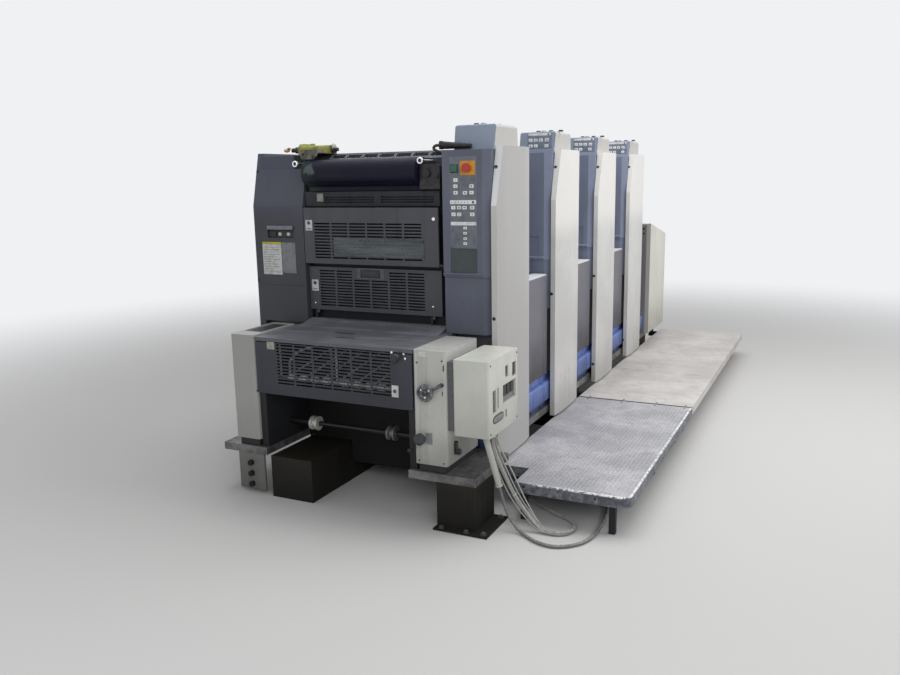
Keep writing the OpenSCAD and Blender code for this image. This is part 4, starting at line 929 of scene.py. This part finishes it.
wheel_metal = Finish("wheel_metal", Metallic=0.55)
wheel_film = wheel_metal.noise(50.0, 5.0)
wheel_rubbed = wheel_metal.ramp(wheel_film, 0.42, 0.7)
wheel_metal.set(Base_Color=wheel_metal.mix(color(92, 93, 96), color(150, 151, 154), wheel_rubbed),
                Roughness=0.36)
wheel_metal.relief(wheel_film, 0.0001, edge=0.0015)
dress(wheel_metal, "crank_wheel")
knob_grey = Finish("knob_grey", Metallic=0.3, Roughness=0.45)
on_lever = knob_grey.ramp(knob_grey.axis("Z"), 0.395, 0.385)
knob_grey.set(Base_Color=knob_grey.mix(color(70, 71, 74), color(30, 30, 32), on_lever))
knob_grey.relief(knob_grey.noise(300.0), 0.00005, edge=0.0012)
dress(knob_grey, "adjusting_knob")
wheel_middle = np.array([0.517, 0.620])
wheel_disc = 0.434


def ring_places(centre, radius, count, start=0.0):
    """Places evenly spaced on a circle."""
    angle = start + np.arange(count) * 2 * np.pi / count
    return np.asarray(centre) + radius * np.column_stack([np.cos(angle), np.sin(angle)])


wheel_screw = [(0.0042, wheel_disc - 0.008), (0.0042, wheel_disc - 0.0045), (0.003, wheel_disc - 0.0038)]
wheel_screws = [lathed(spot, wheel_screw, sides=16) for spot in ring_places(wheel_middle, 0.0215, 3, 0.5)]
grip_turn = math.radians(27)
grip_reach = 0.092
grip_x, grip_z = wheel_middle + grip_reach * np.array([math.cos(grip_turn), math.sin(grip_turn)])
grip_cap = ball((grip_x, -0.428, grip_z), (0.0095, 0.0095, 0.0095))
nut_profile = [(0.0075, wheel_disc + 0.007), (0.0075, wheel_disc + 0.0105), (0.005, wheel_disc + 0.012)]
hub_nut = lathed(wheel_middle, nut_profile, sides=6)
add_piece("wheel_screws", wheel_screws, chrome, "crank")
add_piece("grip_end", [grip_cap], black_plastic, "crank")
add_piece("wheel_hub_nut", [hub_nut], black_plastic, "crank", smooth=False)


# Electrical box
# A cream enamelled sheet box beside the post, on a black rubber packing. Its outer side has bare
# sockets and slots, dark inside, and a bare oval badge.
cream_enamel = enamel("cream_enamel", (198, 199, 191), rough=0.36, dirt=(104, 98, 84), low=0.36, dirty=0.3,
                      streaks=0.25, chips=0.5, chip=(110, 106, 96), coat=0.1)
dress(cream_enamel, "electrical_box", "hose_fittings")
valve_grey = enamel("valve_grey", (124, 124, 120), rough=0.5, dirt=(50, 48, 44), dirty=0.5, streaks=0.5)
valve_grey.lay((24, 24, 26), valve_grey.ramp(valve_grey.axis("Y") - front_plane_y, -0.3965, -0.398))
dress(valve_grey, "valve_plate")

gasket_rubber = Finish("gasket_rubber", Roughness=0.7)
gasket_dust = gasket_rubber.noise(60.0, 4.0)
gasket_rubber.set(Base_Color=gasket_rubber.mix(color(76, 77, 79), color(106, 107, 109), gasket_dust))
gasket_rubber.relief(gasket_dust, 0.0001, edge=0.001)
dress(gasket_rubber, "box_gasket")
box_front_y = -0.400
box_side_x = 0.805
box_bottom = 0.435
pocket_floor = box_side_x - 0.010
socket_black = print_card("socket_black", (24, 24, 26), rough=0.45)
socket_grey = print_card("socket_grey", (126, 126, 122), rough=0.5)


def pocket_lining(front, rear, low, high):
    """A lining on the floor of a pocket, from its place on the box's side, a little smaller."""
    gap = 0.0008
    start = (box_front_y + front + gap, box_bottom + low + gap)
    end = (box_front_y + rear - gap, box_bottom + high - gap)
    return plate(start, end, pocket_floor - 0.001, pocket_floor + 0.0012, 0.001, 0.0004, "side")


dark_pockets = [(0.186, 0.219, 0.231, 0.282), (0.269, 0.314, 0.217, 0.280), (0.043, 0.081, 0.103, 0.201),
                (0.094, 0.110, 0.112, 0.204), (0.184, 0.203, 0.050, 0.085)]
add_piece("pocket_linings", [pocket_lining(*sizes) for sizes in dark_pockets], socket_black)
add_piece("socket_panel", [pocket_lining(0.158, 0.311, 0.119, 0.201)], socket_grey)
socket_top = pocket_floor + 0.007
sockets = [plate((y - 0.017, 0.5835), (y + 0.017, 0.627), pocket_floor, socket_top, 0.004, 0.001, "side")
           for y in (-0.215, -0.172, -0.129)]
add_piece("sockets", sockets, socket_black)
vent_top = pocket_floor + 0.006
louvres = [plate((-0.352, z - 0.0022), (-0.324, z + 0.0022), pocket_floor, vent_top, 0.001, 0.0006, "side")
           for z in np.linspace(0.549, 0.627, 8)]
add_piece("vent_louvres", louvres, socket_grey)
rocker_top = pocket_floor + 0.0075
rockers = [plate(low, high, pocket_floor, rocker_top, 0.002, 0.0015, "side")
           for low, high in (((-0.2075, 0.678), (-0.186, 0.7155)), ((-0.125, 0.664), (-0.094, 0.710)))]
add_piece("rockers", rockers, mark_black)

badge_middle = np.array([-0.2975, 0.506])


def badge(wide, high, base, top):
    """A flat oval carried up to its top and drawn in there. Its outline is an ellipse whose cosine
    and sine are raised to the power 0.6, so that its ends are full."""
    angle = np.linspace(0, 2 * np.pi, 40, endpoint=False)
    turn = np.column_stack([np.cos(angle), np.sin(angle)])
    oval = np.sign(turn) * np.abs(turn) ** 0.6 * np.array([wide, high]) / 2
    levels = [(1.0, base), (1.0, top - 0.0008), (0.985, top - 0.0002), (0.96, top)]
    rings = [np.column_stack([badge_middle + oval * share, np.full(len(oval), level)])
             for share, level in levels]
    return turned(closed_skin(rings), "side")


badge_rim = badge(0.118, 0.037, box_side_x - 0.001, box_side_x + 0.002)
badge_face = badge(0.108, 0.027, box_side_x, box_side_x + 0.0028)
add_piece("badge_rim", [badge_rim], mark_black)
add_piece("badge_face", [badge_face], grey_card)
box_screw = [(0.0042, box_side_x - 0.001), (0.0042, box_side_x + 0.0016), (0.003, box_side_x + 0.0024)]
box_screws = [lathed((y, z), box_screw, "side", 16) for z in (0.752, 0.452) for y in (-0.382, -0.078)]
add_piece("box_screws", box_screws, bolt_steel)


# Rubber hoses
# Two dusty rubber hoses hang from the electrical box to the floor and go back to the bed under the
# walkway. Each is swept along its route: the big one round, the bundle of thin ones with a lobe for
# each, laid together and tied.
def rubber(name, tone, dust):
    """Smooth rubber, dull, with pale dust on its upper side."""
    made = Finish(name)
    speckle = made.noise(90.0, 4.0)
    share = (made.ramp(made.facing("Z"), -0.3, 0.9) * made.ramp(speckle, 0.3, 0.75)).limited()
    made.set(Base_Color=made.mix(color(*tone), color(*dust), share), Roughness=0.5 + share * 0.35)
    return made.relief(speckle, 0.0002)


bed_gland = 0.192
gland_x = 0.600
loop_route = np.array([
    [813, -310, 198], [819, -307.5, 173], [827, -305, 138], [838, -304, 102], [855, -305, 68],
    [880, -311, 37], [913, -326, 15], [954, -352, 8], [1000, -382, 8], [1045, -400, 8],
    [1090, -403, 8], [1130, -387, 8], [1165, -358, 8], [1194, -318, 8], [1213, -260, 8],
    [1219, -190, 8], [1218, -110, 8], [1212, -20, 8], [1196, 74, 8], [1155, 165, 8],
    [1085, 232, 8], [990, 266, 8], [880, 276, 8], [780, 276, 8], [710, 272, 8],
    [660, 267, 14], [622, 262, 44], [604, 260, 90], [600, 260, 135],
    [1000 * gland_x, 260, 1000 * bed_gland]]) / 1000
bundle_route = np.array([
    [780, -300, 417], [780, -300, 392], [790, -300, 352], [806, -299, 310],
    [824, -296, 268], [843, -290, 222], [863, -283, 176], [888, -278, 132], [918, -275, 90], [953, -275, 50],
    [988, -278, 22], [1026, -285, 11], [1066, -284, 11], [1102, -261, 11], [1120, -218, 11], [1112, -168, 11],
    [1078, -126, 11], [1016, -88, 11], [936, -40, 11], [856, 14, 11], [776, 66, 11], [704, 106, 11],
    [656, 131, 20], [622, 148, 50], [605, 154, 94], [600, 155, 140],
    [1000 * gland_x, 155, 1000 * bed_gland]]) / 1000
loop_radius = 0.0075
bundle_radius = 0.010


loop_rubber = rubber("loop_rubber", (104, 106, 105), (162, 162, 157))
bundle_rubber = rubber("bundle_rubber", (144, 144, 142), (196, 196, 192))
loop_path = smooth_route(loop_route, 8)
loop_path[:, 2] = np.maximum(loop_path[:, 2], loop_radius)
loop_shape = swept(loop_path, lambda a, s: loop_radius, 20)
loop_hose = add_piece("big_hose", [loop_shape], loop_rubber, replaces=["hose_loop"])

bundle_path = smooth_route(bundle_route, 10)
bundle_path[:, 2] = np.maximum(bundle_path[:, 2], bundle_radius)
strand_turn = 7.0
strands = 4


def strand_section(angle, run):
    """Radius of round strands laid together, which turn slowly round each other: the edge of the
    strand that is nearest in angle, seen from the middle of the bundle."""
    reach, thick = 0.56 * bundle_radius, 0.44 * bundle_radius
    turned_back = strands * (angle - strand_turn * run) / 2
    nearest = np.abs((turned_back + np.pi / 2) % np.pi - np.pi / 2) * 2 / strands
    inside = np.maximum(thick**2 - (reach * np.sin(nearest)) ** 2, (0.15 * thick) ** 2)
    return reach * np.cos(nearest) + np.sqrt(inside)


bundle = add_piece("hose_strands", [swept(bundle_path, strand_section, 48)], bundle_rubber,
                   replaces=["hose_bundle"])
tie_nylon = print_card("tie_nylon", (184, 182, 174), rough=0.45)


def tied(path, index, radius, wide):
    """A cable tie: a flat band that goes round the path at one of its points."""
    along = path[index + 1] - path[index - 1]
    along /= np.linalg.norm(along)
    band = path[index] + np.outer(np.linspace(-wide / 2, wide / 2, 5), along)
    swell = np.array([0.0, 1.0, 1.0, 1.0, 0.0])[:, None]
    return swept(band, lambda a, s: radius + 0.0008 * swell, 24)


def beside(path, last, aside, lift, bow):
    """A thin lead beside a path: it keeps a set distance from it and bows out by one half wave."""
    share = np.linspace(0, 1, last)[:, None]
    across = np.array([0.90, 0.43, 0.0])
    return path[:last] + across * (aside + bow * np.sin(np.pi * share)) + np.array([0, 0, 1.0]) * lift * share


ties = add_piece("hose_ties", [tied(bundle_path, i, bundle_radius, 0.005) for i in (26, 64, 104)], tie_nylon)
lead_sheath = rubber("lead_sheath", (150, 150, 143), (190, 189, 182))
lead_shapes = [swept(beside(bundle_path, last, aside, lift, bow), lambda a, s: 0.0032, 12)
               for last, aside, lift, bow in ((118, 0.013, 0.002, 0.006), (96, 0.017, 0.004, 0.022),
                                              (132, -0.0135, 0.002, -0.010))]
leads = add_piece("hose_leads", lead_shapes, lead_sheath)


# Walkway
# The front section is tread plate, pressed with crossed bars, with a dashed near-white band painted
# along its front and right edges. The rear section is plain plate, butted against it; both stand on
# dark angle legs.
def tread(made, pitch, long, wide):
    """Crossed raised bars of a tread plate: in each square cell a lens along one diagonal, the next
    cell's along the other; its height is 1 less the distance from the middle over its half axes."""
    x = made.axis("X") / pitch
    y = made.axis("Y") / pitch
    u, v = x - x.whole() - 0.5, y - y.whole() - 0.5
    parity = (x.whole() + y.whole()) / 2
    odd = (parity - parity.whole()) > 0.25
    first, second = u + v, u - v
    along = first + (second - first) * odd
    over = second + (first - second) * odd
    distance = ((along / long) ** 2 + (over / wide) ** 2) ** 0.5
    return made.ramp(distance, 1.0, 0.35)


tread_steel = Finish("tread_steel", Metallic=0.3)
tread_bars = tread(tread_steel, 0.019, 0.52, 0.27)
tread_worn = tread_steel.ramp(tread_steel.noise(4.0, 6.0, rough=0.65), 0.36, 0.68)
tread_top = tread_steel.ramp(tread_steel.facing("Z"), 0.4, 0.9)
tread_dirt = tread_steel.ramp(tread_steel.noise(11.0, 5.0), 0.52, 0.75)
tread_speck = tread_steel.ramp(tread_steel.noise(95.0, 3.0), 0.5, 0.66)
edge_cloud = tread_steel.ramp(tread_steel.noise(22.0, 6.0, rough=0.7), 0.4, 0.62)
edge_blotch = tread_steel.mix(color(80, 82, 91), color(128, 131, 138), edge_cloud)
tread_steel.set(Base_Color=tread_steel.mix(color(160, 160, 165), color(196, 195, 199), tread_worn))
tread_steel.lay((232, 232, 235), tread_bars * 0.62)
tread_steel.lay((122, 122, 127), tread_speck * 0.5)
tread_steel.lay((128, 126, 122), tread_dirt * 0.4 * (1 - tread_bars))
tread_steel.lay(edge_blotch, 1 - tread_top)

deck_low, deck_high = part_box("front_deck")
rim_dashes = tread_steel.ramp(tread_steel.noise(52.0, 2.0), 0.44, 0.5)
rim_front = tread_steel.ramp(tread_steel.axis("Y") - deck_low.y, 0.012, 0.008)
rim_side = tread_steel.ramp(deck_high.x - tread_steel.axis("X"), 0.010, 0.006)
rim_edge = rim_front.larger(rim_side).larger(tread_steel.edges(0.009))
rim_right = tread_steel.ramp(tread_steel.axis("X") - middle_x, 0.86, 0.98)
rim_upper = tread_steel.ramp(tread_steel.axis("Z"), 0.172, 0.176)
tread_rim = rim_edge * (0.15 + rim_dashes).limited() * rim_right * rim_upper
tread_steel.lay((250, 250, 250), tread_rim)
seam_y = 1.330
from_seam = (tread_steel.axis("Y") - front_plane_y - seam_y).size()
tread_steel.lay((36, 35, 36), tread_steel.ramp(from_seam, 0.012, 0.008))
tread_steel.set(Roughness=0.5 - tread_rim * 0.2)
tread_steel.relief(tread_bars * tread_top, 0.0014, edge=0.003)
dress(tread_steel, "front_deck")

plain_steel = Finish("plain_steel", Metallic=0.25, Roughness=0.52)
plain_worn = plain_steel.ramp(plain_steel.noise(3.0, 7.0, rough=0.68), 0.35, 0.7)
plain_spots = plain_steel.ramp(plain_steel.noise(8.0, 6.0, rough=0.7), 0.54, 0.72)
past_seam = plain_steel.axis("Y") - front_plane_y - seam_y
plain_steel.set(Base_Color=plain_steel.mix(color(184, 180, 177), color(212, 208, 204), plain_worn))
plain_steel.lay((158, 152, 144), plain_spots * 0.55)
# Painted highlight: a pale band along the plate's edges.
plain_steel.lay((226, 226, 224), plain_steel.edges(0.004) * 0.7)
plain_steel.lay((34, 33, 34), plain_steel.ramp(past_seam, 0.012, 0.009))
plain_steel.relief(plain_steel.noise(90.0, 4.0), 0.0001, edge=0.003)
dress(plain_steel, "rear_deck")

deck_front = 0.190
deck_height = 0.180
edge_hole = [(0.0062, deck_front - 0.001), (0.0062, deck_front + 0.0003), (0.005, deck_front + 0.0004)]
edge_holes = [lathed(spot, edge_hole, sides=20) for spot in ((0.880, 0.163), (1.208, 0.157))]
add_piece("deck_holes", edge_holes, socket_black)
seam_screw = [(0.007, deck_height - 0.001), (0.007, deck_height + 0.0006), (0.003, deck_height + 0.0012)]
seam_screws = [lathed((x, y), seam_screw, "top", 18) for x in (0.74, 0.95, 1.15, 1.32)
               for y in (seam_y - 0.030, seam_y + 0.030)]
add_piece("deck_screws", seam_screws, bolt_steel)


# Feeder
# Two pale cheeks stand at the far end, with the sloping steel feed board between them and the dark
# suction head on its beam over the pile board.
feeder_enamel = enamel("feeder_enamel", (208, 207, 196), rough=0.38, dirt=(112, 108, 100), low=0.25,
                       dirty=0.4, streaks=0.3, chips=0.3, chip=(120, 120, 118))
# Painted shade: faces that look towards the delivery are painted dark grey.
feeder_enamel.lay((122, 121, 122), feeder_enamel.ramp(feeder_enamel.facing("Y"), -0.35, -0.8))
dress(feeder_enamel, "feeder_operator_cheek", "feeder_drive_cheek")

brushed_steel = Finish("brushed_steel", Metallic=0.85, Roughness=0.36)
brush = brushed_steel.noise(60.0, 3.0, stretch=(1, 0.03, 1))
brushed_steel.set(Base_Color=brushed_steel.mix(color(150, 151, 153), color(190, 191, 193), brush))
brushed_steel.relief(brush, 0.00005, edge=0.002)
dress(brushed_steel, "feed_board", "feeder_pile_board")
cheek_face = -3.180
cheek_hole = [(0.008, cheek_face - 0.001), (0.008, cheek_face + 0.0004), (0.006, cheek_face + 0.0005)]
cheek_holes = [lathed((0.640, z), cheek_hole, sides=18) for z in (1.098, 1.062)]
add_piece("cheek_holes", cheek_holes, socket_black)


# Floor, backdrop and light
# A pale floor that bends up behind the press, a soft sky, and large lamps. The strongest light is
# over the operator's side, so that side is the bright one.
eye = at([2.1156, -3.4738, 1.5306])
yaw, pitch, roll = np.radians([25.806, 11.009, -1.038])
focal_pixels = 823.16
picture_wide = 900

ahead = np.array([-np.sin(yaw) * np.cos(pitch), np.cos(yaw) * np.cos(pitch), -np.sin(pitch)])
level = np.array([np.cos(yaw), np.sin(yaw), 0.0])
upward = np.cross(level, ahead)

camera_data = bpy.data.cameras.new("camera")
camera_data.sensor_width = 36
camera_data.lens = camera_data.sensor_width * focal_pixels / picture_wide
camera_data.clip_end = 80
camera = bpy.data.objects.new("camera", camera_data)
bpy.context.scene.collection.objects.link(camera)
turn = np.eye(4)
turn[:3, 0] = np.cos(roll) * level + np.sin(roll) * upward
turn[:3, 1] = np.cos(roll) * upward - np.sin(roll) * level
turn[:3, 2] = -ahead
turn[:3, 3] = eye
camera.matrix_world = Matrix(turn.tolist())
bpy.context.scene.camera = camera

stage_paint = Finish("stage_paint", Roughness=0.85, Base_Color=color(204, 203, 201))
distance = {"operation": "LENGTH"}
from_press = stage_paint.node("ShaderNodeVectorMath", distance, {0: stage_paint.place()}, out="Value")
stage_far = stage_paint.ramp(from_press, 2.4, 7.5)
ray_kinds = [stage_paint.node("ShaderNodeLightPath", out=kind)
             for kind in ("Is Camera Ray", "Is Glossy Ray", "Is Transmission Ray")]
seen = ray_kinds[0].larger(ray_kinds[1]).larger(ray_kinds[2])
pale_wall = stage_paint.node("ShaderNodeEmission", None, {"Color": color(240, 241, 243), "Strength": 1.0})
stage_mix = stage_paint.tree.nodes.new("ShaderNodeMixShader")
stage_paint.join(stage_mix.inputs[0], seen * stage_far)
stage_paint.tree.links.new(stage_paint.shader.outputs[0], stage_mix.inputs[1])
stage_paint.join(stage_mix.inputs[2], pale_wall)
stage_paint.tree.links.new(stage_mix.outputs[0], stage_paint.tree.nodes["Material Output"].inputs[0])
stage_sides = 96
stage_turns = np.linspace(0, 2 * np.pi, stage_sides, endpoint=False)
bend_radius = 5.0
floor_radius = 8.0
wall_height = 12.0
bend = np.linspace(0, np.pi / 2, 18)
stage_profile = np.vstack([[[0.001, 0.0], [3.0, 0.0]],
                           np.column_stack([floor_radius + bend_radius * np.sin(bend),
                                            bend_radius * (1 - np.cos(bend))]),
                           [[floor_radius + bend_radius, wall_height]]])
behind = 0.5 + 0.5 * np.cos(stage_turns - np.arctan2(ahead[1], ahead[0]))
rise = np.clip(behind * 2.4 - 0.6, 0, 1)
stage_grid = np.stack([stage_profile[:, :1] * np.cos(stage_turns), stage_profile[:, :1] * np.sin(stage_turns),
                       stage_profile[:, 1:] * rise - 0.0005], axis=-1)
stage_mesh = bpy.data.meshes.new("stage")
stage_faces = quads(len(stage_profile), stage_sides, around=True)
stage_mesh.from_pydata(stage_grid.reshape(-1, 3).tolist(), [], stage_faces)
stage_mesh.materials.append(stage_paint.material)
stage_mesh.polygons.foreach_set("use_smooth", [True] * len(stage_mesh.polygons))
stage = bpy.data.objects.new("stage", stage_mesh)
bpy.context.scene.collection.objects.link(stage)

world = bpy.data.worlds.new("shop_light")
world.use_nodes = True
bpy.context.scene.world = world
world_nodes, world_links = world.node_tree.nodes, world.node_tree.links
background = world_nodes["Background"]
background.inputs["Color"].default_value = color(238, 240, 244)
background.inputs["Strength"].default_value = 0.5
pale_sky = world_nodes.new("ShaderNodeBackground")
pale_sky.inputs["Color"].default_value = color(240, 241, 243)
rays = world_nodes.new("ShaderNodeLightPath")
sky_seen = rays.outputs["Is Camera Ray"]
for kind in ("Is Glossy Ray", "Is Transmission Ray"):
    either = world_nodes.new("ShaderNodeMath")
    either.operation = "MAXIMUM"
    world_links.new(sky_seen, either.inputs[0])
    world_links.new(rays.outputs[kind], either.inputs[1])
    sky_seen = either.outputs[0]
sky_mix = world_nodes.new("ShaderNodeMixShader")
world_links.new(sky_seen, sky_mix.inputs[0])
world_links.new(background.outputs[0], sky_mix.inputs[1])
world_links.new(pale_sky.outputs[0], sky_mix.inputs[2])
world_links.new(sky_mix.outputs[0], world_nodes["World Output"].inputs[0])


def lamp(name, place, target, size, watts):
    """A large soft lamp at a place of the press, aimed at another."""
    data = bpy.data.lights.new(name, "AREA")
    data.shape = "RECTANGLE"
    data.size, data.size_y = size
    data.energy = watts
    made = bpy.data.objects.new(name, data)
    bpy.context.scene.collection.objects.link(made)
    spot, aim = Vector(at(place)), Vector(at(target))
    made.location = spot
    made.rotation_mode = "QUATERNION"
    made.rotation_quaternion = (aim - spot).to_track_quat("-Z", "Y")


lamp("lamp_operator_side", (5.2, 2.6, 3.4), (0.6, 1.6, 0.9), (4.5, 2.6), 96)
lamp("lamp_overhead", (1.0, 1.2, 4.6), (0.4, 1.0, 0.6), (3.0, 5.0), 130)
lamp("lamp_delivery", (3.0, -4.4, 3.0), (0.1, 0.0, 0.8), (3.0, 2.0), 66)

bpy.context.scene.view_settings.view_transform = "Standard"
